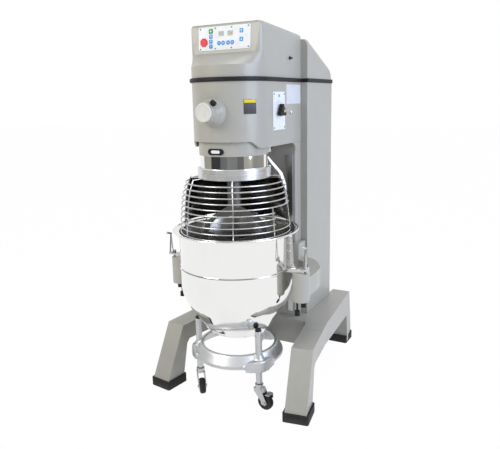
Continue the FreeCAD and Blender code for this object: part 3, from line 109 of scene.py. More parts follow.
# The dolly: each caster's post and its trailing direction, in degrees.
CASTERS = {"a": (-33.0, -8.0), "b": (-153.0, -48.0), "c": (87.0, 60.0)}
POST_RING, TRAIL, WHEEL_R = 190.0, 34.0, 37.5
DOLLY_R, DOLLY_WALL = 210.0, 10.0
SKIRT_LOW, SKIRT_TALL, SKIRT_SPAN = 182.0, 48.0, 60.0
SKIRT_RISE = 0.12                   # slope of the wall's lower edge towards a post
WEB_SLANT = 0.529                   # slope that fairs a web's proud end into the wall
BLOCK_LONG, BLOCK_DEEP = 150, 60
VOXEL, EASING = 3.1, 12             # grain of the blended surface, and rounds of smoothing
FEWEST, MOST = 20000, 98000         # faces the dolly casting may end with

# The studio: curved cards by first angle, last angle and tone.
FLAG_R, FLAG_T, FLAG_LOW, FLAG_HIGH = 5000, 20, 100, 1500
FLAGS = ((-178, -142, (0.50, 0.47, 0.38)), (-142, -106, (0.05, 0.05, 0.05)),
         (-106, -84, (0.20, 0.20, 0.20)), (-84, -50, (0.30, 0.295, 0.28)),
         (-50, -28, (0.20, 0.20, 0.19)), (-28, 6, (0.60, 0.57, 0.48)),
         (6, 60, (0.42, 0.40, 0.36)))
# Floor, lamps and eye, in metres; the lamps by place, aim, size, power and colour.
FLOOR_SIZE, FLOOR_GLOW = 60, 0.985
LAMPS = {"key_lamp": ((-1.7, -3.4, 3.0), (0, -0.2, 0.95), 2.2, 82, (1.0, 0.975, 0.90)),
         "fill_lamp": ((3.6, -0.6, 2.0), (0, 0, 0.9), 2.6, 98, (0.68, 0.77, 1.0)),
         "top_lamp": ((0.2, 0.6, 4.0), (0, 0, 0.9), 2.4, 34, (1.0, 1.0, 1.0))}
EYE = Vector((1.2341, AXIS.y - 2.1496, 1.376))
YAW, PITCH, ROLL = 0.495, 0.22, -0.022
LENS, FILM = 40.0, 36.0


# ------------------------------------------------------------ user settings
def length(name, about, usual, least, most):
    return bpy.props.FloatProperty(name=name, description=about, default=usual, min=least, max=most,
                                   unit="LENGTH")


def tone(name, about, usual):
    return bpy.props.FloatVectorProperty(name=name, description=about, subtype="COLOR", default=usual,
                                         min=0, max=1)


class MixerSizes(bpy.types.PropertyGroup):
    """Sizes of the fine pieces."""

    edge_round: length("Edge round", "Width of the rounded edge on castings and sheet covers",
                       0.0022, 0.0002, 0.01)
    wire_radius: length("Wire radius", "Radius of the guard's wires", 0.0032, 0.001, 0.006)
    bead_radius: length("Rim bead radius", "Radius of the rolled edge on the bowl's rim", 0.004, 0.001, 0.008)
    screw_radius: length("Screw radius", "Radius of the screw heads on the plates", 0.0034, 0.001, 0.006)


class MixerColours(bpy.types.PropertyGroup):
    """Colours of the finishes."""

    paint: tone("Paint", "Grey enamel on the body", (0.40, 0.388, 0.345))
    trim: tone("Trim", "Black strip round the head", (0.012, 0.012, 0.013))
    panel: tone("Panel", "White control and shift plates", (0.78, 0.80, 0.82))
    keys: tone("Keys", "Blue membrane keys", (0.004, 0.24, 0.68))
    stop: tone("Stop button", "Red stop button", (0.70, 0.010, 0.014))
    start: tone("Start button", "Green start button", (0.01, 0.30, 0.06))
    steel: tone("Polished steel", "Bowl, shield and wires", (0.86, 0.86, 0.85))
    alloy: tone("Cast alloy", "Dolly casting", (0.60, 0.61, 0.62))


# ------------------------------------------------------------ material building
def fill(node, **values):
    """Sets a node's inputs by their names, with a _ for each blank."""
    for name, value in values.items():
        node.inputs[name.replace("_", " ")].default_value = value


class Shading:
    """Writes one node-based finish, read from the piece's own object coordinates."""

    def __init__(self, name, colour, metallic, roughness):
        self.material = bpy.data.materials.new(name)
        self.material.use_nodes = True
        self.tree = self.material.node_tree
        self.shader = self.tree.nodes["Principled BSDF"]
        self.colour = (*colour, 1.0)
        fill(self.shader, Base_Color=self.colour, Metallic=metallic, Roughness=roughness)
        self.roughness = roughness
        self.place = self.add("ShaderNodeTexCoord").outputs["Object"]
        self.tint = None
        self.rough = None
        self.bump = None

    def add(self, kind, **settings):
        made = self.tree.nodes.new(kind)
        for key, value in settings.items():
            setattr(made, key, value)
        return made

    def join(self, source, target):
        self.tree.links.new(source, target)

    def stretched(self, scale):
        """Object coordinates scaled differently along each axis."""
        mapping = self.add("ShaderNodeMapping")
        fill(mapping, Scale=scale)
        self.join(self.place, mapping.inputs["Vector"])
        return mapping.outputs["Vector"]

    def noise(self, scale, detail=3.0, stretch=None):
        texture = self.add("ShaderNodeTexNoise")
        fill(texture, Scale=scale, Detail=detail)
        self.join(self.stretched(stretch) if stretch else self.place, texture.inputs["Vector"])
        return texture.outputs["Fac"]

    def remap(self, source, low, high):
        """Nought at the low value, one at the high value."""
        ranged = self.add("ShaderNodeMapRange")
        fill(ranged, From_Min=low, From_Max=high)
        self.join(source, ranged.inputs["Value"])
        return ranged.outputs["Result"]

    def math(self, operation, first, second):
        made = self.add("ShaderNodeMath", operation=operation)
        for value, socket in ((first, made.inputs[0]), (second, made.inputs[1])):
            if isinstance(value, (int, float)):
                socket.default_value = value
            else:
                self.join(value, socket)
        return made.outputs[0]

    def height(self):
        """Object height in metres."""
        split = self.add("ShaderNodeSeparateXYZ")
        self.join(self.place, split.inputs[0])
        return split.outputs["Z"]

    def edges(self, width, low=0.04, high=0.30):
        """One at sharp edges, nought on the flats between them."""
        soft = self.add("ShaderNodeBevel", samples=4)
        fill(soft, Radius=width)
        plain = self.add("ShaderNodeNewGeometry")
        apart = self.add("ShaderNodeVectorMath", operation="DISTANCE")
        self.join(soft.outputs["Normal"], apart.inputs[0])
        self.join(plain.outputs["Normal"], apart.inputs[1])
        return self.remap(apart.outputs["Value"], low, high)

    def blend(self, factor, other, amount=1.0):
        """Lays another colour over the colour so far, where the factor says."""
        mix = self.add("ShaderNodeMix", data_type="RGBA")
        share = self.math("MULTIPLY", factor, amount) if amount != 1.0 else factor
        self.join(share, mix.inputs["Factor"])
        if self.tint is None:
            mix.inputs[6].default_value = self.colour
        else:
            self.join(self.tint, mix.inputs[6])
        mix.inputs[7].default_value = (*other, 1.0)
        self.tint = mix.outputs[2]

    def roughen(self, factor, change):
        start = self.roughness if self.rough is None else self.rough
        self.rough = self.math("ADD", self.math("MULTIPLY", factor, change), start)

    def raise_by(self, factor, distance, strength=1.0):
        """Adds a relief of the given depth in metres."""
        bump = self.add("ShaderNodeBump")
        fill(bump, Distance=distance, Strength=strength)
        self.join(factor, bump.inputs["Height"])
        if self.bump is not None:
            self.join(self.bump, bump.inputs["Normal"])
        self.bump = bump.outputs["Normal"]

    def done(self):
        for made, name in ((self.tint, "Base Color"), (self.rough, "Roughness"), (self.bump, "Normal")):
            if made is not None:
                self.join(made, self.shader.inputs[name])
        return self.material


def darker(colour, share):
    return tuple(channel * share for channel in colour)


def lighter(colour, share, lift=0):
    return tuple(min(1, channel * share + lift) for channel in colour)


def enamel_paint(name, colour, low_darkening=0.0):
    """Sprayed enamel: faint orange peel, uneven tone, rubbed edges and a darker, browner tone towards the
    floor.
    """
    shade = Shading(name, colour, 0.0, 0.34)
    shade.blend(shade.remap(shade.noise(2.2, 4), 0.35, 0.70), darker(colour, 0.90), 0.55)
    shade.blend(shade.remap(shade.noise(38, 3, (1, 1, 0.25)), 0.56, 0.74), darker(colour, 0.82), 0.25)
    shade.blend(shade.edges(0.0025), lighter(colour, 1.35), 0.45)
    specks = shade.remap(shade.noise(240, 2), 0.66, 0.70)
    chips = shade.math("MULTIPLY", specks, shade.edges(0.003, 0.12, 0.40))
    shade.blend(chips, (0.16, 0.155, 0.15))
    # Darker and browner towards the floor, by the given share.
    if low_darkening:
        low = shade.remap(shade.height(), 0.45, 0.0)
        shade.blend(shade.math("MULTIPLY", low, shade.noise(9, 5)), (0.23, 0.215, 0.19), low_darkening)
    shade.roughen(shade.noise(14, 4), 0.14)
    shade.raise_by(shade.noise(620, 1), 0.00006)
    shade.raise_by(shade.noise(70, 2), 0.00010)
    fill(shade.shader, Coat_Weight=0.22, Coat_Roughness=0.12)
    return shade.done()


def polished_steel(name, colour, roughness=0.07, spun=True):
    """Polished stainless with fine lines round the axis and faint smears."""
    shade = Shading(name, colour, 1.0, roughness)
    lines = shade.noise(1.0, 2, (3, 3, 900) if spun else (240, 240, 240))
    shade.roughen(shade.remap(lines, 0.4, 0.7), 0.05)
    smears = shade.remap(shade.noise(7, 5, (1, 1, 0.4)), 0.48, 0.72)
    shade.roughen(smears, 0.10)
    shade.blend(smears, darker(colour, 0.93), 0.6)
    shade.raise_by(lines, 0.000012)
    shade.raise_by(shade.noise(16, 1), 0.00035, 0.30)
    return shade.done()


def brushed_steel(name, colour, roughness=0.26, grain=(4, 4, 700)):
    """Brushed or turned steel, its grain stretched one way."""
    shade = Shading(name, colour, 1.0, roughness)
    lines = shade.noise(1.0, 3, grain)
    shade.roughen(shade.remap(lines, 0.35, 0.70), 0.16)
    shade.blend(shade.remap(lines, 0.40, 0.75), darker(colour, 0.80), 0.5)
    shade.blend(shade.remap(shade.noise(22, 4), 0.52, 0.75), darker(colour, 0.72), 0.4)
    shade.blend(shade.edges(0.0012), lighter(colour, 1.3), 0.5)
    shade.raise_by(lines, 0.00003)
    return shade.done()


def cast_metal(name, colour, metallic=0.9, roughness=0.40, grain=0.0003):
    """Cast metal: pitted skin, burnished edges and dull hollows."""
    shade = Shading(name, colour, metallic, roughness)
    skin = shade.noise(420, 3)
    shade.blend(shade.remap(skin, 0.50, 0.72), darker(colour, 0.62), 0.5)
    shade.blend(shade.remap(shade.noise(18, 4), 0.45, 0.72), darker(colour, 0.74), 0.5)
    shade.blend(shade.edges(0.002), lighter(colour, 1.35), 0.6)
    shade.roughen(shade.noise(55, 3), 0.2)
    shade.raise_by(skin, grain)
    return shade.done()


def zinc_plate(name):
    """Zinc plating with its faint spangle and a yellow bloom."""
    shade = Shading(name, (0.56, 0.57, 0.58), 1.0, 0.30)
    cells = shade.add("ShaderNodeTexVoronoi")
    fill(cells, Scale=160)
    shade.join(shade.place, cells.inputs["Vector"])
    shade.blend(shade.remap(cells.outputs["Distance"], 0.1, 0.8), (0.44, 0.45, 0.47), 0.5)
    shade.blend(shade.remap(shade.noise(30, 4), 0.5, 0.75), (0.50, 0.46, 0.36), 0.45)
    shade.roughen(shade.noise(90, 2), 0.18)
    shade.raise_by(shade.noise(300, 2), 0.00006)
    return shade.done()


def rubber(name, colour, roughness=0.62, scuffs=0.35):
    """Black rubber: fine grain, grey scuffs and dust near the floor."""
    shade = Shading(name, colour, 0.0, roughness)
    fill(shade.shader, Specular_IOR_Level=0.3)
    shade.blend(shade.remap(shade.noise(26, 5), 0.50, 0.75), (0.04, 0.039, 0.038), scuffs)
    low = shade.remap(shade.height(), 0.03, 0.0)
    shade.blend(shade.math("MULTIPLY", low, shade.noise(60, 4)), (0.10, 0.093, 0.083), 0.6)
    shade.blend(shade.edges(0.002), (0.06, 0.06, 0.06), 0.35)
    shade.roughen(shade.noise(80, 3), 0.18)
    shade.raise_by(shade.noise(900, 2), 0.00010)
    return shade.done()


def moulded_plastic(name, colour, roughness=0.32, grain=0.00004):
    """Moulded plastic: fine texture, slight tone change and polished edges."""
    shade = Shading(name, colour, 0.0, roughness)
    fill(shade.shader, Specular_IOR_Level=0.25)
    shade.blend(shade.remap(shade.noise(34, 4), 0.45, 0.75), darker(colour, 0.80), 0.45)
    shade.blend(shade.edges(0.0012), lighter(colour, 1.25, 0.01), 0.4)
    shade.roughen(shade.noise(120, 3), 0.12)
    shade.raise_by(shade.noise(1100, 2), grain)
    return shade.done()


def glass_display(name):
    """Smoky display window with lit grey-green segments behind it."""
    shade = Shading(name, (0.16, 0.18, 0.15), 0.0, 0.12)
    shade.blend(shade.remap(shade.noise(60, 2), 0.4, 0.7), (0.26, 0.29, 0.24), 0.6)
    shade.roughen(shade.noise(160, 2), 0.08)
    shade.raise_by(shade.noise(700, 1), 0.00002)
    fill(shade.shader, Coat_Weight=0.8, Coat_Roughness=0.04)
    return shade.done()


def chart_plate(name):
    """Pale plate with faint ruled lines and no writing."""
    shade = Shading(name, (0.66, 0.67, 0.70), 0.0, 0.30)
    rules = shade.math("SINE", shade.math("MULTIPLY", shade.height(), 900.0), 0.0)
    shade.blend(shade.remap(rules, 0.78, 0.96), (0.40, 0.42, 0.50), 0.35)
    shade.blend(shade.remap(shade.noise(26, 3), 0.5, 0.75), (0.56, 0.56, 0.60), 0.5)
    shade.roughen(shade.noise(120, 3), 0.10)
    shade.raise_by(shade.noise(900, 2), 0.00002)
    return shade.done()


FINISHES = {}


def finish(key):
    """The material of one finish, made the first time it is asked for."""
    if key not in FINISHES:
        tones = bpy.context.scene.mixer_colours
        recipes = {
            "paint": (enamel_paint, "grey_enamel", tones.paint),
            "base_paint": (enamel_paint, "grey_enamel_base", tones.paint, 0.5),
            "boot": (rubber, "boot_rubber", (0.012, 0.012, 0.013)),
            "tip": (rubber, "tip_rubber", (0.018, 0.018, 0.019)),
            "wheel": (rubber, "wheel_rubber", (0.010, 0.010, 0.011), 0.5),
            "cable": (rubber, "cable_sheath", (0.012, 0.012, 0.012), 0.45, 0.3),
            "trim": (moulded_plastic, "trim_strip", tones.trim, 0.42),
            "black": (moulded_plastic, "black_moulding", (0.010, 0.010, 0.011), 0.36),
            "panel": (moulded_plastic, "panel_white", tones.panel, 0.24),
            "keys": (moulded_plastic, "key_blue", tones.keys, 0.25),
            "stop": (moulded_plastic, "stop_red", tones.stop, 0.22),
            "start": (moulded_plastic, "start_green", tones.start, 0.22),
            "cap": (moulded_plastic, "cap_white", (0.66, 0.645, 0.60), 0.28),
            "display": (glass_display, "display_window"),
            "sign": (moulded_plastic, "sign_white", (0.82, 0.82, 0.82), 0.30, 0.00002),
            "dark_plate": (moulded_plastic, "dark_plate", (0.07, 0.07, 0.075), 0.34, 0.00002),
            "yellow": (moulded_plastic, "yellow_band", (0.72, 0.58, 0.02), 0.30, 0.00002),
            "chart": (chart_plate, "chart_plate"),
            # Near-black colour on the shield's steel: a painted dark reflection of the shaded space behind
            # the guard.
            "shield": (brushed_steel, "shield_steel", (0.10, 0.095, 0.09), 0.17, (2, 2, 300)),
            "beater": (cast_metal, "beater_alloy", (0.17, 0.168, 0.16), 0.95, 0.34, 0.00018),
            "bowl": (polished_steel, "bowl_steel", tones.steel, 0.055),
            # Brushed steel inside the bowl, its tone darkened as painted shade and dark reflection; a thin
            # painted reflection line on the hoop uses it too.
            "bowl_inside": (brushed_steel, "bowl_inside", (0.30, 0.295, 0.28), 0.16, (3, 3, 500)),
            "stay": (polished_steel, "stay_strip", (0.95, 0.95, 0.94), 0.30, False),
            "mirror": (polished_steel, "mirror_band", tones.steel, 0.03),
            "wire": (polished_steel, "guard_wire", darker(tones.steel, 0.66), 0.12, False),
            "brushed": (brushed_steel, "brushed_band", (0.78, 0.79, 0.79)),
            "shaft": (brushed_steel, "turned_steel", (0.58, 0.58, 0.58), 0.22),
            "way": (brushed_steel, "ground_way", (0.50, 0.50, 0.50), 0.24, (700, 700, 5)),
            "screw": (brushed_steel, "dark_screw", (0.16, 0.16, 0.16), 0.34),
            "gear": (cast_metal, "gear_iron", (0.20, 0.20, 0.21), 0.85, 0.42),
            "alloy": (cast_metal, "cast_alloy", tones.alloy, 0.92, 0.34, 0.00018),
            "motor": (cast_metal, "motor_iron", (0.10, 0.11, 0.12), 0.3, 0.5),
            "bronze": (cast_metal, "nut_bronze", (0.46, 0.30, 0.12), 1.0, 0.34, 0.0001),
            "zinc": (zinc_plate, "zinc_fork"),
        }
        maker, *how = recipes[key]
        FINISHES[key] = maker(*how)
    return FINISHES[key]


# ------------------------------------------------------------ modelling helpers
def object_mode():
    bpy.ops.object.mode_set(mode="OBJECT")


def clear_selection():
    if bpy.context.object is not None and bpy.context.object.mode != "OBJECT":
        object_mode()
    bpy.ops.object.select_all(action="DESELECT")


def pick(piece):
    clear_selection()
    piece.select_set(True)
    bpy.context.view_layer.objects.active = piece


def edit_all(piece):
    pick(piece)
    bpy.ops.object.mode_set(mode="EDIT")
    bpy.ops.mesh.select_all(action="SELECT")


def apply_all(piece):
    pick(piece)
    for modifier in list(piece.modifiers):
        bpy.ops.object.modifier_apply(modifier=modifier.name)


def round_edges(piece, width, angle):
    """Adds the rounding of edges sharper than an angle."""
    modifier = piece.modifiers.new("edge_round", "BEVEL")
    modifier.width = width
    modifier.segments = 2
    modifier.limit_method = "ANGLE"
    modifier.angle_limit = math.radians(angle)
    modifier.harden_normals = True


def bevelled(piece, width, angle=32):
    """Rounds the sharp edges of a finished shape."""
    round_edges(piece, width, angle)
    apply_all(piece)


def cut_away(piece, tool):
    """Takes a tool's shape out of a piece and does away with the tool."""
    modifier = piece.modifiers.new("cut", "BOOLEAN")
    modifier.operation = "DIFFERENCE"
    modifier.solver = "EXACT"
    modifier.object = tool
    apply_all(piece)
    pick(tool)
    bpy.ops.object.delete()


def smooth(piece, angle=34):
    pick(piece)
    bpy.ops.object.shade_smooth_by_angle(angle=math.radians(angle))


def trace(points):
    """A chain of vertices, drawn out point by point."""
    clear_selection()
    bpy.ops.mesh.primitive_plane_add(size=0.001, location=points[0])
    piece = bpy.context.object
    edit_all(piece)
    bpy.ops.mesh.merge(type="CENTER")
    for before, after in zip(points, points[1:]):
        step = Vector(after) - Vector(before)
        bpy.ops.mesh.extrude_region_move(TRANSFORM_OT_translate={"value": step})
    object_mode()
    return piece


def settle(piece):
    """Puts the piece's place into its mesh, so that its object sits at the origin."""
    pick(piece)
    bpy.ops.object.transform_apply(location=True, rotation=True, scale=True)


def spun(profile, centre, axis=UP, steps=96, closed=True):
    """A turned shape from (radius, distance along the axis) points."""
    axis = Vector(axis).normalized()
    side = axis.orthogonal().normalized()
    points = [Vector(centre) + side * r + axis * z for r, z in profile]
    piece = trace(points + points[:1] if closed else points)
    settle(piece)
    edit_all(piece)
    bpy.ops.mesh.spin(steps=steps, angle=2 * math.pi, center=centre, axis=axis)
    bpy.ops.mesh.select_all(action="SELECT")
    bpy.ops.mesh.remove_doubles(threshold=0.00001)
    bpy.ops.mesh.normals_make_consistent(inside=False)
    object_mode()
    return piece


def wire(points, radius):
    """A round wire through points."""
    piece = trace(points)
    settle(piece)
    bpy.ops.object.convert(target="CURVE")
    curve = bpy.context.object
    curve.data.bevel_depth = radius
    curve.data.bevel_resolution = 3
    curve.data.use_fill_caps = True
    pick(curve)
    bpy.ops.object.convert(target="MESH")
    made = bpy.context.object
    bpy.ops.object.shade_smooth()
    return made


def at(x, y, z):
    """A point given in millimetres about the mixing axis."""
    return Vector((x * MM, AXIS.y + y * MM, z * MM))


def around(radius, degrees, z):
    """A point given by its radius, angle and height about the mixing axis."""
    angle = math.radians(degrees)
    return at(radius * math.cos(angle), radius * math.sin(angle), z)


def ray(degrees):
    """The level direction at an angle."""
    angle = math.radians(degrees)
    return Vector((math.cos(angle), math.sin(angle), 0))


def closed_up(piece):
    """Merges doubled points and turns every face outward."""
    edit_all(piece)
    bpy.ops.mesh.remove_doubles(threshold=0.00001)
    bpy.ops.mesh.normals_make_consistent(inside=False)
    object_mode()
    return piece


def bent_wire(radius, z, start, end, thick):
    """A round wire bent to an arc about the mixing axis, with closed ends."""
    clear_selection()
    bpy.ops.mesh.primitive_circle_add(
        vertices=10, radius=thick, fill_type="NGON", rotation=(math.pi / 2, 0, math.radians(start)),
        location=around(radius, start, z))
    piece = bpy.context.object
    settle(piece)
    edit_all(piece)
    bpy.ops.mesh.spin(steps=60, angle=math.radians(end - start), center=at(0, 0, z), axis=-UP)
    object_mode()
    return closed_up(piece)


def sector(profile, start, end, steps=16):
    """A closed (radius, height) outline swept between two angles about the mixing axis."""
    points = [at(0, 0, z) + ray(start) * r * MM for r, z in profile]
    piece = trace(points + points[:1])
    settle(piece)
    edit_all(piece)
    bpy.ops.mesh.remove_doubles(threshold=0.00001)
    bpy.ops.mesh.edge_face_add()
    bpy.ops.mesh.spin(steps=steps, angle=math.radians(end - start), center=at(0, 0, 0), axis=-UP)
    object_mode()
    return closed_up(piece)


def boxed(inner, outer, low, high):
    """The four corners of a (radius, height) outline."""
    return [(inner, low), (outer, low), (outer, high), (inner, high)]


def tablet(x, z, width, height, back, front, corner=2.0, edge=0.3):
    """A flat key or plate with round corners, drawn facing -Y about the origin."""
    clear_selection()
    bpy.ops.mesh.primitive_plane_add(size=1, location=(x * MM, -back * MM, z * MM),
                                     rotation=(math.pi / 2, 0, 0))
    piece = bpy.context.object
    piece.scale = (width * MM, height * MM, 1)
    settle(piece)
    edit_all(piece)
    bpy.ops.mesh.bevel(offset=corner * MM, segments=4, affect="VERTICES")
    bpy.ops.mesh.select_all(action="SELECT")
    step = (0, -(front - back) * MM, 0)
    bpy.ops.mesh.extrude_region_move(TRANSFORM_OT_translate={"value": step})
    object_mode()
    closed_up(piece)
    bevelled(piece, edge * MM, 40)
    return piece


def button(x, z, radius, back, front, sides=32, edge=0.4, dish=0.0, turn=0.0):
    """A round or many-sided key with an inset face, drawn facing -Y about the origin."""
    clear_selection()
    bpy.ops.mesh.primitive_circle_add(vertices=sides, radius=radius * MM, fill_type="NGON",
                                      location=(x * MM, -back * MM, z * MM),
                                      rotation=(math.pi / 2, turn, 0))
    piece = bpy.context.object
    settle(piece)
    edit_all(piece)
    step = (0, -(front - back) * MM, 0)
    bpy.ops.mesh.extrude_region_move(TRANSFORM_OT_translate={"value": step})
    if dish:
        bpy.ops.mesh.inset(thickness=radius * 0.18 * MM)
        bpy.ops.transform.translate(value=(0, dish * MM, 0))
    object_mode()
    closed_up(piece)
    bevelled(piece, edge * MM, 25)
    return piece


def on_panel(piece):
    """Moves a piece drawn about the panel's middle onto the leaning panel face."""
    piece.rotation_euler.x = -PANEL_TILT
    piece.location = at(0, PANEL_Y, PANEL_Z)
    settle(piece)
    return piece


def on_side(piece, y, z):
    """Moves a piece drawn facing -Y onto the flat right side of the head."""
    piece.rotation_euler.z = math.pi / 2
    piece.location = at(HEAD_R, y, z)
    settle(piece)
    return piece


def copied(piece, offset):
    """A copy with its own mesh, moved by an offset in metres."""
    pick(piece)
    bpy.ops.object.duplicate_move(TRANSFORM_OT_translate={"value": offset})
    made = bpy.context.object
    settle(made)
    return made


def joined(pieces):
    clear_selection()
    for piece in pieces:
        piece.select_set(True)
    bpy.context.view_layer.objects.active = pieces[0]
    if len(pieces) > 1:
        bpy.ops.object.join()
    return bpy.context.object


def finished(piece, name, body, key, stands_for=()):
    """Names a piece, gives it its finish and ties it to its body."""
    settle(piece)
    piece.name = name
    piece.data.name = name
    piece.data.materials.clear()
    piece.data.materials.append(finish(key))
    if stands_for:
        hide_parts(*stands_for)
    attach(piece, body)
    return piece


def dress(names, key, rounding=None, angle=30):
    """Gives carried CAD nodes their finish, with welded, rounded and evenly shaded surfaces."""
    for name in names:
        node = NODES[name]
        node.data.materials.clear()
        node.data.materials.append(finish(key))
        pick(node)
        bpy.ops.object.shade_smooth()
        weld = node.modifiers.new("weld", "WELD")
        weld.merge_threshold = 0.000002
        if rounding:
            round_edges(node, rounding, angle)
        else:
            split = node.modifiers.new("crisp_edges", "EDGE_SPLIT")
            split.split_angle = math.radians(angle)
        even = node.modifiers.new("even_shading", "WEIGHTED_NORMAL")
        even.keep_sharp = True


# ------------------------------------------------------------ stage
def either(tree, first, second):
    """One for the rays of either kind, else nought."""
    path = tree.nodes.new("ShaderNodeLightPath")
    seen = tree.nodes.new("ShaderNodeMath")
    seen.operation = "MAXIMUM"
    tree.links.new(path.outputs[first], seen.inputs[0])
    tree.links.new(path.outputs[second], seen.inputs[1])
    return seen.outputs[0]


def mixed(tree, share, first, second):
    """A blend of two shaders."""
    mix = tree.nodes.new("ShaderNodeMixShader")
    for place, socket in enumerate((share, first, second)):
        tree.links.new(socket, mix.inputs[place])
    return mix.outputs[0]


def lit(tree, kind, colour, strength):
    """A glowing or background shader of one colour and strength."""
    node = tree.nodes.new(kind)
    fill(node, Color=colour + (1,), Strength=strength)
    return node.outputs[0]


def pale_floor():
    """Floor finish that reads white to the eye and in reflections, and stays matt to the lamps."""
    shade = Shading("pale_floor", (0.86, 0.86, 0.86), 0.0, 0.55)
    shade.blend(shade.noise(3, 3), (0.88, 0.88, 0.875), 0.5)
    fill(shade.shader, Specular_IOR_Level=0.2)
    material = shade.done()
    tree = material.node_tree
    share = shade.math("MULTIPLY", either(tree, "Is Camera Ray", "Is Glossy Ray"), FLOOR_GLOW)
    glow = lit(tree, "ShaderNodeEmission", (1, 1, 1), 1.0)
    shade.join(mixed(tree, share, shade.shader.outputs[0], glow),
               tree.nodes["Material Output"].inputs["Surface"])
    return material


def studio_flag(start, end, tone):
    """A curved card that only the polished surfaces see."""
    flag = sector(boxed(FLAG_R, FLAG_R + FLAG_T, FLAG_LOW, FLAG_HIGH), start, end, 12)
    flag.name = "studio_flag"
    shade = Shading("flag_cloth", tone, 0.0, 0.9)
    shade.blend(shade.noise(2, 3), darker(tone, 0.75), 0.6)
    flag.data.materials.append(shade.done())
    flag.visible_camera = False
    flag.visible_diffuse = False
    flag.visible_shadow = False
    return flag


def studio_room(scene):
    """Surroundings: white behind the object, bright in reflections and soft as light."""
    room = bpy.data.worlds.new("studio")
    room.use_nodes = True
    scene.world = room
    tree = room.node_tree
    tree.nodes.clear()
    path = tree.nodes.new("ShaderNodeLightPath")
    inner = mixed(tree, path.outputs["Is Glossy Ray"],
                  lit(tree, "ShaderNodeBackground", (0.93, 0.96, 1.0), 0.52),
                  lit(tree, "ShaderNodeBackground", (1, 1, 1), 0.92))
    outer = mixed(tree, either(tree, "Is Camera Ray", "Is Transmission Ray"), inner,
                  lit(tree, "ShaderNodeBackground", (1, 1, 1), 1.0))
    out = tree.nodes.new("ShaderNodeOutputWorld")
    tree.links.new(outer, out.inputs["Surface"])


def eye_turn():
    """The camera's turning from its yaw, pitch and roll."""
    ahead = Vector((-math.sin(YAW) * math.cos(PITCH), math.cos(YAW) * math.cos(PITCH), -math.sin(PITCH)))
    right = Vector((math.cos(YAW), math.sin(YAW), 0))
    above = right.cross(ahead)
    across = right * math.cos(ROLL) + above * math.sin(ROLL)
    upward = above * math.cos(ROLL) - right * math.sin(ROLL)
    return Matrix((across, upward, -ahead)).transposed().to_4x4()


class MIXER_OT_stage(bpy.types.Operator):
    """Floor, lamps, surroundings and camera"""

    bl_idname = "mixer.stage"
    bl_label = "Stage"

    def execute(self, context):
        clear_selection()
        bpy.ops.mesh.primitive_plane_add(size=FLOOR_SIZE, location=(0, 0, 0))
        floor = context.object
        floor.name = "floor"
        floor.data.materials.append(pale_floor())
        for start, end, tone in FLAGS:
            studio_flag(start, end, tone)
        studio_room(context.scene)

        for name, how in LAMPS.items():
            lamp(name, *how)
        view = bpy.data.cameras.new("view")
        camera = bpy.data.objects.new("view", view)
        context.scene.collection.objects.link(camera)
        view.lens = LENS
        view.sensor_width = FILM
        view.clip_start = 0.05
        view.clip_end = 60
        camera.matrix_world = Matrix.Translation(EYE) @ eye_turn()
        context.scene.camera = camera
        context.scene.view_settings.view_transform = "Standard"
        return {"FINISHED"}


def lamp(name, place, aim, size, power, colour):
    """A large soft lamp turned towards a point."""
    clear_selection()
    bpy.ops.object.light_add(type="AREA", location=place)
    made = bpy.context.object
    made.name = name
    made.data.shape = "DISK"
    made.data.size = size
    made.data.energy = power
    made.data.color = colour
    made.rotation_euler = (Vector(aim) - Vector(place)).to_track_quat("-Z", "Y").to_euler()


# ------------------------------------------------------------ carried-over shapes
class MIXER_OT_castings(bpy.types.Operator):
    """Enamelled body, base and yoke"""

    bl_idname = "mixer.castings"
    bl_label = "Enamelled castings"

    def execute(self, context):
        edge = context.scene.mixer_sizes.edge_round
        dress(["column_shell", "column_neck", "head_cover", "head_skirt", "hub_boss",
               "column_cap"], "paint", edge)
        dress(["head_housing"], "paint")
        dress(["side_frame_left", "side_frame_right", "cross_box", "yoke"], "base_paint", edge)
        return {"FINISHED"}


class MIXER_OT_machinery(bpy.types.Operator):
    """Gears, shafts, motors, screw and slide ways"""

    bl_idname = "mixer.machinery"
    bl_label = "Machinery"

    def execute(self, context):
        dress(["ring_gear", "bull_gear", "planet_carrier"], "gear", 0.0006)
        dress(["spindle", "agitator_shaft", "motor_pinion", "lift_screw", "yoke_pins",
               "shaft_bearings"], "shaft", 0.0006)
        dress(["slide_ways"], "way", 0.0008)
        dress(["drive_motor", "lift_motor"], "motor", 0.0015)
        dress(["lift_nut"], "bronze", 0.0008)
        dress(["beater"], "beater", 0.003)
        return {"FINISHED"}


class MIXER_OT_steelwork(bpy.types.Operator):
    """Drip ring, stay, collar, ears, clamps and shift lever"""

    bl_idname = "mixer.steelwork"
    bl_label = "Steelwork"

    def execute(self, context):
        dress(["drip_ring"], "mirror")
        dress(["guard_stay"], "stay")
        dress(["guard_collar"], "brushed", 0.0006)
        dress(["bowl_ears", "clamp_left", "clamp_right", "shift_lever"], "wire", 0.0007)
        return {"FINISHED"}


class MIXER_OT_dolly(bpy.types.Operator):
    """Dolly tips, caster forks and wheels"""

    bl_idname = "mixer.dolly"
    bl_label = "Bowl dolly"

    def execute(self, context):
        dress(["dolly_tips"], "tip")
        dress(["caster_fork_a", "caster_fork_b", "caster_fork_c"], "zinc", 0.0006)
        dress(["caster_wheel_a", "caster_wheel_b", "caster_wheel_c"], "wheel", 0.0008)
        return {"FINISHED"}


class MIXER_OT_controls(bpy.types.Operator):
    """Plates, sensor window, knob, plungers, latch, trim, boots and cable"""

    bl_idname = "mixer.controls"
    bl_label = "Controls and trim"

    def execute(self, context):
        dress(["control_plate", "shift_plate"], "panel", 0.0006)
        dress(["sensor_window", "shift_knob", "yoke_plungers", "cover_latch"], "black", 0.0008)
        dress(["trim_strip"], "trim", 0.001)
        dress(["foot_boots"], "boot", 0.002)
        dress(["switch_cable"], "cable")
        return {"FINISHED"}


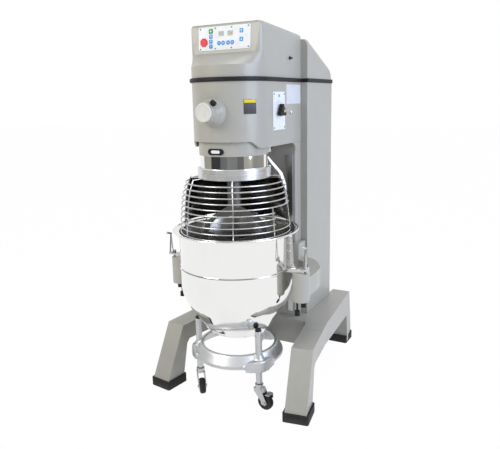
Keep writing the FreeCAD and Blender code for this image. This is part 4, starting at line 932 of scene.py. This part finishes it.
# ------------------------------------------------------------ modelled pieces
def bowl_line(inset):
    """The bowl's outside as (radius, height), moved in by the inset: knuckle, cone, shoulder."""
    lean = math.atan2(CONE_TOP[0] - CONE_FOOT[0], CONE_TOP[1] - CONE_FOOT[1])
    wide = (BOWL_R - CONE_TOP[0]) / (1 - math.cos(lean))
    tight = (CONE_FOOT[1] - BOWL_BOTTOM) / (1 - math.sin(lean))
    line = []
    for step in range(9):
        angle = -math.pi / 2 + (math.pi / 2 - lean) * step / 8
        line.append((CONE_FOOT[0] - tight * math.cos(lean) + (tight - inset) * math.cos(angle),
                     BOWL_BOTTOM + tight + (tight - inset) * math.sin(angle)))
    for step in range(13):
        angle = -lean + lean * step / 12
        line.append((BOWL_R - wide + (wide - inset) * math.cos(angle),
                     CONE_TOP[1] + wide * math.sin(lean) + (wide - inset) * math.sin(angle)))
    return line


def in_metres(profile):
    return [(r * MM, z * MM) for r, z in profile]


class MIXER_OT_bowl(bpy.types.Operator):
    """Spun bowl with rolled rim, hoop and foot ring"""

    bl_idname = "mixer.bowl"
    bl_label = "Mixing bowl"

    def execute(self, context):
        bead = context.scene.mixer_sizes.bead_radius / MM
        rim = [(BOWL_R, BOWL_RIM - 17), (BOWL_R + 1.2, BOWL_RIM - 12), (BOWL_R + 5, BOWL_RIM - 8),
               (BOWL_R + 14, BOWL_RIM - 5.4), (RIM_R - bead - 2, BOWL_RIM - bead - 3.4)]
        for step in range(10):
            angle = math.radians(-100 + 24 * step)
            rim.append((RIM_R - bead + bead * math.cos(angle), BOWL_RIM - bead + bead * math.sin(angle)))
        rim += [(RIM_R - 2.2 * bead, BOWL_RIM - 1.2 * bead), (BOWL_R + 7, BOWL_RIM - 4.2),
                (BOWL_R - 0.5, BOWL_RIM - 8), (BOWL_R - BOWL_T, BOWL_RIM - 14)]
        outside, inside = bowl_line(0), bowl_line(BOWL_T)
        skin = [(0, BOWL_BOTTOM)] + outside + rim + inside[::-1] + [(0, BOWL_BOTTOM + BOWL_T)]
        shell = spun(in_metres(skin), at(0, 0, 0), UP, 144, False)
        foot = [(r, BOWL_BOTTOM + z) for r, z in FOOT_LINE]
        ring = spun(in_metres(foot), at(0, 0, 0), UP, 144)
        band = [(BOWL_R + r, HOOP_Z + z) for r, z in HOOP_LINE]
        hoop = spun(in_metres(band), at(0, 0, 0), UP, 144)
        piece = joined([shell, ring, hoop])
        smooth(piece, 36)
        finished(piece, "mixing_bowl", "bowl", "bowl", ("bowl_shell",))
        piece.data.materials.append(finish("bowl_inside"))
        # Inside faces take the darker steel as painted shade and reflection.
        for face in piece.data.polygons:
            out = Vector((face.center.x - AXIS.x, face.center.y - AXIS.y, 0))
            within = out.length < (BOWL_R - 1) * MM and face.normal.dot(out.normalized()) < 0.5
            # A thin band along the hoop takes the darker steel as a painted dark reflection.
            shaded = abs(face.center.z - (HOOP_Z + HOOP_SHADE) * MM) < 2.2 * MM
            painted_hoop_reflection = shaded and out.length > (BOWL_R + 1.5) * MM
            if (within and face.normal.z > -0.1) or painted_hoop_reflection:
                face.material_index = 1
        return {"FINISHED"}


def guard_radius(z):
    """Radius of the guard's shape at a height."""
    for (r1, z1), (r0, z0) in zip(GUARD_LINE, GUARD_LINE[1:]):
        if z >= z0:
            return r0 + (r1 - r0) * (z - z0) / (z1 - z0)
    return GUARD_LINE[-1][0]


class MIXER_OT_cage(bpy.types.Operator):
    """Round guard wires with their uprights and spokes"""

    bl_idname = "mixer.cage"
    bl_label = "Guard cage"

    def execute(self, context):
        thick = context.scene.mixer_sizes.wire_radius
        wires = []
        for z in RING_HEIGHTS:
            end = FEED_END if FEED_LOW < z < FEED_HIGH else GUARD_TO
            wires.append(bent_wire(guard_radius(z), z, GUARD_FROM, end, thick))
        behind = 2 * thick / MM - WELD
        for degrees, top in [(degrees, CAGE_TOP) for degrees in UPRIGHTS] + [FEED_POST]:
            levels = [z for z in [CAGE_TOP] + RING_HEIGHTS + [CAGE_FOOT] if z <= top]
            points = [around(COLLAR_R - 1, degrees, CAGE_TOP + 1.5)] if top == CAGE_TOP else []
            points += [around(guard_radius(z) - behind, degrees, z) for z in levels]
            wires.append(wire(points, thick))
        piece = joined(wires)
        smooth(piece, 50)
        finished(piece, "guard_wires", "guard", "wire", ("guard_cage",))
        return {"FINISHED"}


class MIXER_OT_shield(bpy.types.Operator):
    """Sheet shield behind the mixing space, with hemmed edges, and the flange of its stay"""

    bl_idname = "mixer.shield"
    bl_label = "Splash shield"

    def execute(self, context):
        outer = [(guard_radius(z) - SHIELD_IN, z) for z in SHIELD_LEVELS]
        inner = [(r - SHIELD_T, z) for r, z in outer[:-1]]
        lip, brow = outer[-1]
        section = outer + [(lip, brow + SHIELD_T), (SHIELD_NECK, brow + SHIELD_T), (SHIELD_NECK, brow),
                           (lip - SHIELD_T, brow)] + inner[::-1]
        sheet = sector(section, SHIELD_FROM, SHIELD_TO, 72)
        low = outer[0][0]
        hem = bent_wire(low - 1, SHIELD_LOW, SHIELD_FROM, SHIELD_TO, HEM_R * MM)
        sides = []
        for degrees in (SHIELD_FROM, SHIELD_TO):
            points = [around(r - 1, degrees, z) for r, z in outer]
            sides.append(wire(points, HEM_R * MM))
        piece = joined([sheet, hem] + sides)
        smooth(piece, 32)
        # The shield's near-black steel is a painted dark reflection.
        finished(piece, "rear_shield", "frame", "shield", ("splash_shield",))

        line = [(COLLAR_R - 6, 1128), (COLLAR_R + 10, 1100), (COLLAR_R + 32, 1072)]
        line += [(guard_radius(z) + 6.8, z) for z in (1045, 1020, 993, 970, 948)]
        wide = [(r + reach, z + rise) for (r, z), reach, rise in
                zip(line, (2, 9, 12, 14, 14, 13, 10, 3), (3, 5, 4, 2, 0, 0, 0, 0))]
        flange = sector(line + wide[::-1], STAY_FROM, STAY_TO, 1)
        bevelled(flange, 0.0008)
        smooth(flange)
        finished(flange, "stay_flange", "frame", "stay")
        return {"FINISHED"}


class MIXER_OT_keys(bpy.types.Operator):
    """Blue keys, buttons, displays and their white signs on the control plate"""

    bl_idname = "mixer.keys"
    bl_label = "Control plate keys"

    def execute(self, context):
        top = PLATE_FRONT + 1.0
        keys = [tablet(PROGRAM_X, z, 17, 16.5, PLATE_FRONT, top, 3.0) for z in PROGRAM_ROWS]
        keys += [button(x, ROUND_ROW, 9, PLATE_FRONT, top) for x in ROUND_KEYS]
        keys += [tablet(ARROW_X, z, 17, 17, PLATE_FRONT, top, 3.0) for z in ARROW_ROWS]
        finished(on_panel(joined(keys)), "blue_keys", "frame", "keys", ("key_pads",))

        sign = top + 0.2
        signs = []
        for x, upright in zip(ROUND_KEYS, (False, True, False, True)):
            signs.append(tablet(x, ROUND_ROW, 8, 1.8, top - 0.1, sign, 0.4, 0.05))
            if upright:
                signs.append(tablet(x, ROUND_ROW, 1.8, 8, top - 0.1, sign, 0.4, 0.05))
        for z, way in zip(ARROW_ROWS, (1, -1)):
            turn = math.pi / 2 * (1 + way)
            signs.append(button(ARROW_X, z + 1.8 * way, 5, top - 0.1, sign, 3, 0.05, 0, turn))
            signs.append(tablet(ARROW_X, z - 3 * way, 3, 5, top - 0.1, sign, 0.3, 0.05))
        for z, width in zip(PROGRAM_ROWS, (9, 6, 3)):
            signs.append(tablet(PROGRAM_X, z, width, 2.2, top - 0.1, sign, 0.5, 0.05))
            signs.append(tablet(PROGRAM_X, z + 4, width, 1.4, top - 0.1, sign, 0.4, 0.05))
        finished(on_panel(joined(signs)), "key_signs", "frame", "sign")

        frames = [tablet(x, DISPLAY_Z, 27, 21, PLATE_FRONT, PLATE_FRONT + 0.7, 1.5) for x in DISPLAYS]
        finished(on_panel(joined(frames)), "display_frames", "frame", "display",
                 ("display_windows",))
        back, front = PLATE_FRONT + 0.6, PLATE_FRONT + 0.8
        bars = []
        for middle in [x + across for x in DISPLAYS for across in (-6, 6)]:
            for rise in (6.5, 0, -6.5):
                bars.append(tablet(middle, DISPLAY_Z + rise, 5.4, 1.5, back, front, 0.5, 0.04))
            for side in (-3.3, 3.3):
                for rise in (3.2, -3.2):
                    bars.append(tablet(middle + side, DISPLAY_Z + rise, 1.5, 5, back, front, 0.5, 0.04))
        finished(on_panel(joined(bars)), "display_digits", "frame", "black")
        return {"FINISHED"}


class MIXER_OT_buttons(bpy.types.Operator):
    """Red stop button and green start button"""

    bl_idname = "mixer.buttons"
    bl_label = "Stop and start"

    def execute(self, context):
        face = PLATE_FRONT + 3.0
        under = PLATE_FRONT + BUTTON_LIFT
        stop = button(STOP_X, STOP_Z, 18.5, under, face, 8, 0.6, 0.5, math.pi / 8)
        neck = button(STOP_X, STOP_Z, 14, -8, under + 0.2)
        finished(on_panel(joined([stop, neck])), "stop_octagon", "stop", "stop", ("stop_button",))
        clear_selection()
        bpy.ops.object.text_add(location=(STOP_X * MM, -(face - 0.6) * MM, (STOP_Z - 3.2) * MM),
                                rotation=(math.pi / 2, 0, 0))
        word = context.object
        word.data.body = "STOP"
        word.data.align_x = "CENTER"
        word.data.size = 9.5 * MM
        word.data.extrude = 0.1 * MM
        bpy.ops.object.convert(target="MESH")
        word = closed_up(context.object)
        finished(on_panel(word), "stop_word", "stop", "sign")

        top = PLATE_FRONT + 2.6
        start = tablet(START_X, START_Z, 19, 20, under, top, 3.5, 0.4)
        stem = button(START_X, START_Z, 7.4, -8, under + 0.2)
        finished(on_panel(joined([start, stem])), "start_key", "start", "start",
                 ("start_button",))
        arrow = button(START_X, START_Z, 5, top - 0.1, top + 0.2, 3, 0.05, 0, math.pi / 2)
        finished(on_panel(arrow), "start_sign", "start", "sign")
        return {"FINISHED"}


def screw_head(radius):
    """A domed screw head with a cross recess, facing -Y at the origin."""
    head = button(0, 0, radius, 0, 1.6, 20, 0.7)
    for width, height in ((0.35 * radius, 1.3 * radius), (1.3 * radius, 0.35 * radius)):
        clear_selection()
        bpy.ops.mesh.primitive_cube_add(size=1, location=(0, -1.4 * MM, 0))
        slot = bpy.context.object
        slot.scale = (width * MM, 1.4 * MM, height * MM)
        settle(slot)
        cut_away(head, slot)
    return head


class MIXER_OT_screws(bpy.types.Operator):
    """Cross-slotted screws round the control plate and the shift plate"""

    bl_idname = "mixer.screws"
    bl_label = "Plate screws"

    def execute(self, context):
        radius = context.scene.mixer_sizes.screw_radius / MM
        first = screw_head(radius)
        panel = [copied(first, (x * MM, -(PLATE_FRONT - 0.1) * MM, z * MM)) for x, z in PANEL_SCREWS]
        panel = on_panel(joined(panel))
        side = []
        for y, z in SIDE_SCREWS:
            head = copied(first, (0, 0, 0))
            head.rotation_euler.z = math.pi / 2
            head.location = at(HEAD_R + PLATE_FRONT - 0.1, y, z)
            settle(head)
            side.append(head)
        pick(first)
        bpy.ops.object.delete()
        piece = joined([panel] + side)
        smooth(piece, 30)
        finished(piece, "cross_screws", "frame", "screw", ("plate_screws",))
        return {"FINISHED"}


class MIXER_OT_plates(bpy.types.Operator):
    """Blank chart plate, blank nose plate with its band, sensor window and knob scale"""

    bl_idname = "mixer.plates"
    bl_label = "Small plates"

    def execute(self, context):
        chart = on_side(tablet(0, 0, *CHART_SIZE, 0, 0.9, 3, 0.2), *CHART_PLACE)
        finished(chart, "blank_chart", "frame", "chart", ("blank_plates",))
        outer = HEAD_R + 1.2
        grey = sector(boxed(HEAD_R - 0.5, outer, NOSE_LOW, NOSE_HIGH), -45, -26)
        bevelled(grey, 0.0003)
        smooth(grey)
        finished(grey, "nose_plate", "frame", "dark_plate")
        band = sector(boxed(HEAD_R, outer + 0.25, BAND_LOW, BAND_HIGH), -44.4, -26.6)
        bevelled(band, 0.0002)
        smooth(band)
        finished(band, "nose_band", "frame", "yellow")
        lens = tablet(0, 1167, 42, 13, 155.4, 156.6, 6.2, 0.5)
        lens.location = at(0, 0, 0)
        settle(lens)
        finished(lens, "sensor_lens", "frame", "sign")
        ticks = []
        for turn in (-30, 0, 30):
            angle = math.radians(90 + turn)
            ticks.append(on_side(tablet(0, 0, 2, 7, PLATE_FRONT - 0.1, PLATE_FRONT + 0.15, 0.4, 0.05),
                                 KNOB[0] + SCALE_R * math.cos(angle), KNOB[1] + SCALE_R * math.sin(angle)))
        sign = button(0, 0, 7, PLATE_FRONT - 0.1, PLATE_FRONT + 0.2, 32, 0.05, 0.1)
        ticks.append(on_side(sign, *LAMP_SIGN))
        finished(joined(ticks), "knob_scale", "frame", "keys")
        return {"FINISHED"}


class MIXER_OT_hub(bpy.types.Operator):
    """Turned hub cap and knurled thumb screw"""

    bl_idname = "mixer.hub"
    bl_label = "Attachment hub"

    def execute(self, context):
        line = [(0, -22.3), (20, -22.3), (21.9, -20.5), (21.9, 0), (36, 0), (38.3, 1.4), (38.5, 4),
                (38.1, 6.6), (36.6, 8.2), (34.2, 8.7), (31.6, 8.7), (30.2, 7.9), (28.5, 7.6), (10, 7.7),
                (0, 7.8)]
        cap = spun(in_metres(line), at(0, CAP_Y, HUB_Z), FRONT, 96, False)
        smooth(cap, 40)
        finished(cap, "hub_cover", "cap", "cap", ("hub_cap",))

        way = Vector((math.cos(math.pi / 4), 0, math.sin(math.pi / 4)))
        root = at(0, THUMB_Y, HUB_Z)
        line = [(0, 25), (6, 25), (6, 46), (11.6, 46), (13, 47.4), (13, 58.4), (11.6, 60), (8, 60), (7, 59),
                (0, 59)]
        screw = spun(in_metres(line), root, way, 48, False)
        rim = []
        for face in screw.data.polygons:
            away = face.center - root
            if abs(face.normal.dot(way)) < 0.1 and (away - way * away.dot(way)).length > 12 * MM:
                rim.append(face.index)
        edit_all(screw)
        bpy.ops.mesh.select_mode(type="FACE")
        bpy.ops.mesh.select_all(action="DESELECT")
        object_mode()
        for index in rim[::2]:
            screw.data.polygons[index].select = True
        bpy.ops.object.mode_set(mode="EDIT")
        bpy.ops.mesh.inset(thickness=0.0003, depth=-0.0006, use_individual=True)
        object_mode()
        smooth(screw, 30)
        finished(screw, "hub_thumb_screw", "thumbscrew", "black", ("hub_screw",))
        return {"FINISHED"}


def post_frame(angle, side):
    """The outward direction at a post, and the square direction to the wall's sloping lower edge."""
    out = ray(angle)
    along = Vector((-out.y, out.x, 0)) * side
    return out, along, (UP - along * SKIRT_RISE).normalized()


def post_skirt(angle):
    """A stretch of the dolly's wall that deepens in a straight line towards a post."""
    wall = boxed(DOLLY_R - DOLLY_WALL, DOLLY_R, SKIRT_LOW, SKIRT_LOW + SKIRT_TALL)
    skirt = sector(wall, angle - SKIRT_SPAN, angle + SKIRT_SPAN, 48)
    for side in (-1, 1):
        out, along, square = post_frame(angle, side)
        edit_all(skirt)
        bpy.ops.mesh.bisect(plane_co=at(0, 0, SKIRT_LOW) + out * DOLLY_R * MM, plane_no=square,
                            use_fill=True, clear_inner=True)
        object_mode()
    return closed_up(skirt)


def trim_block(across, up, width, middle):
    """A long block whose upper face lies on a cutting plane."""
    clear_selection()
    bpy.ops.mesh.primitive_cube_add(size=1)
    block = bpy.context.object
    block.scale = (width * MM, BLOCK_LONG * MM, BLOCK_DEEP * MM)
    block.rotation_euler = Matrix((across, up.cross(across), up)).transposed().to_euler()
    block.location = at(0, 0, 0) + (middle - up * BLOCK_DEEP / 2) * MM
    settle(block)
    return block


def web_trim(angle, side):
    """The two blocks that take the square corner and the proud end off the web beside a post."""
    out, along, square = post_frame(angle, side)
    slant = (out + along * WEB_SLANT).normalized()
    reach = 103
    below = out * (DOLLY_R + 6) + UP * (SKIRT_LOW + reach * SKIRT_RISE) + along * reach
    beside = out * (DOLLY_R + 16 - 75 * WEB_SLANT) + UP * (SKIRT_LOW + 30) + along * 100
    return [trim_block(out, square, 46, below), trim_block(UP, -slant, 96, beside)]


class MIXER_OT_cast_dolly(bpy.types.Operator):
    """Dolly casting, deeper at its posts, with its corners blended"""

    bl_idname = "mixer.cast_dolly"
    bl_label = "Dolly casting"

    def execute(self, context):
        pick(NODES["dolly_ring"])
        bpy.ops.object.duplicate()
        piece = context.object
        piece.parent = None
        closed_up(piece)
        posts = [post for post, trail in CASTERS.values()]
        blocks = []
        for post in posts:
            blocks += web_trim(post, -1) + web_trim(post, 1)
        for block in blocks:
            cut_away(piece, block)
        piece = joined([piece] + [post_skirt(post) for post in posts])
        blended = piece.modifiers.new("blended", "REMESH")
        blended.mode = "VOXEL"
        blended.voxel_size = VOXEL * MM
        eased = piece.modifiers.new("eased", "SMOOTH")
        eased.factor = 0.5
        eased.iterations = EASING
        apply_all(piece)
        if not FEWEST < len(piece.data.polygons) < MOST:
            raise RuntimeError("the dolly casting has %d faces" % len(piece.data.polygons))
        bpy.ops.object.shade_smooth()
        finished(piece, "cast_dolly", "dolly", "alloy", ("dolly_ring",))
        return {"FINISHED"}


class MIXER_OT_casters(bpy.types.Operator):
    """Axle nuts and bearing covers of the three casters"""

    bl_idname = "mixer.casters"
    bl_label = "Caster hardware"

    def execute(self, context):
        for name, (post, trail) in CASTERS.items():
            nuts, covers = [], []
            for side in (-1, 1):
                nut = button(TRAIL, WHEEL_R, 7.5, 18.4, 23, 6, 0.5, 0.4)
                cover = button(TRAIL, WHEEL_R, 14.5, 13.6, 14.6, 28, 0.4, 0.3)
                for piece, group in ((nut, nuts), (cover, covers)):
                    if side > 0:
                        pick(piece)
                        bpy.ops.transform.mirror(constraint_axis=(False, True, False),
                                                 center_override=(0, 0, 0))
                        settle(piece)
                        closed_up(piece)
                    group.append(piece)
            for group, label, body in ((nuts, "axle_nuts_", "caster_"),
                                       (covers, "bearing_covers_", "wheel_")):
                piece = joined(group)
                piece.rotation_euler.z = math.radians(trail)
                piece.location = around(POST_RING, post, 0)
                settle(piece)
                smooth(piece, 30)
                finished(piece, label + name, body + name, "zinc")
        return {"FINISHED"}


class MIXER_PT_sidebar(bpy.types.Panel):
    """Lists the steps that dress the mixer"""

    bl_label = "Planetary Mixer"
    bl_idname = "MIXER_PT_sidebar"
    bl_space_type = "VIEW_3D"
    bl_region_type = "UI"
    bl_category = "Mixer"

    def draw(self, context):
        layout = self.layout
        for group in (context.scene.mixer_sizes, context.scene.mixer_colours):
            for key in type(group).__annotations__:
                layout.prop(group, key)
        for step in STEPS:
            layout.operator(step.bl_idname)


STEPS = (MIXER_OT_stage, MIXER_OT_castings, MIXER_OT_machinery, MIXER_OT_steelwork, MIXER_OT_dolly,
         MIXER_OT_controls, MIXER_OT_bowl, MIXER_OT_cage, MIXER_OT_shield, MIXER_OT_keys,
         MIXER_OT_buttons, MIXER_OT_screws, MIXER_OT_plates, MIXER_OT_hub,
         MIXER_OT_cast_dolly, MIXER_OT_casters)
CLASSES = (MixerSizes, MixerColours) + STEPS + (MIXER_PT_sidebar,)


def register():
    for cls in CLASSES:
        bpy.utils.register_class(cls)
    bpy.types.Scene.mixer_sizes = bpy.props.PointerProperty(type=MixerSizes)
    bpy.types.Scene.mixer_colours = bpy.props.PointerProperty(type=MixerColours)


def unregister():
    del bpy.types.Scene.mixer_colours
    del bpy.types.Scene.mixer_sizes
    for cls in reversed(CLASSES):
        bpy.utils.unregister_class(cls)


def main():
    register()
    for step in STEPS:
        group, _, name = step.bl_idname.partition(".")
        getattr(getattr(bpy.ops, group), name)()
    clear_selection()


if __name__ == "__main__":
    main()
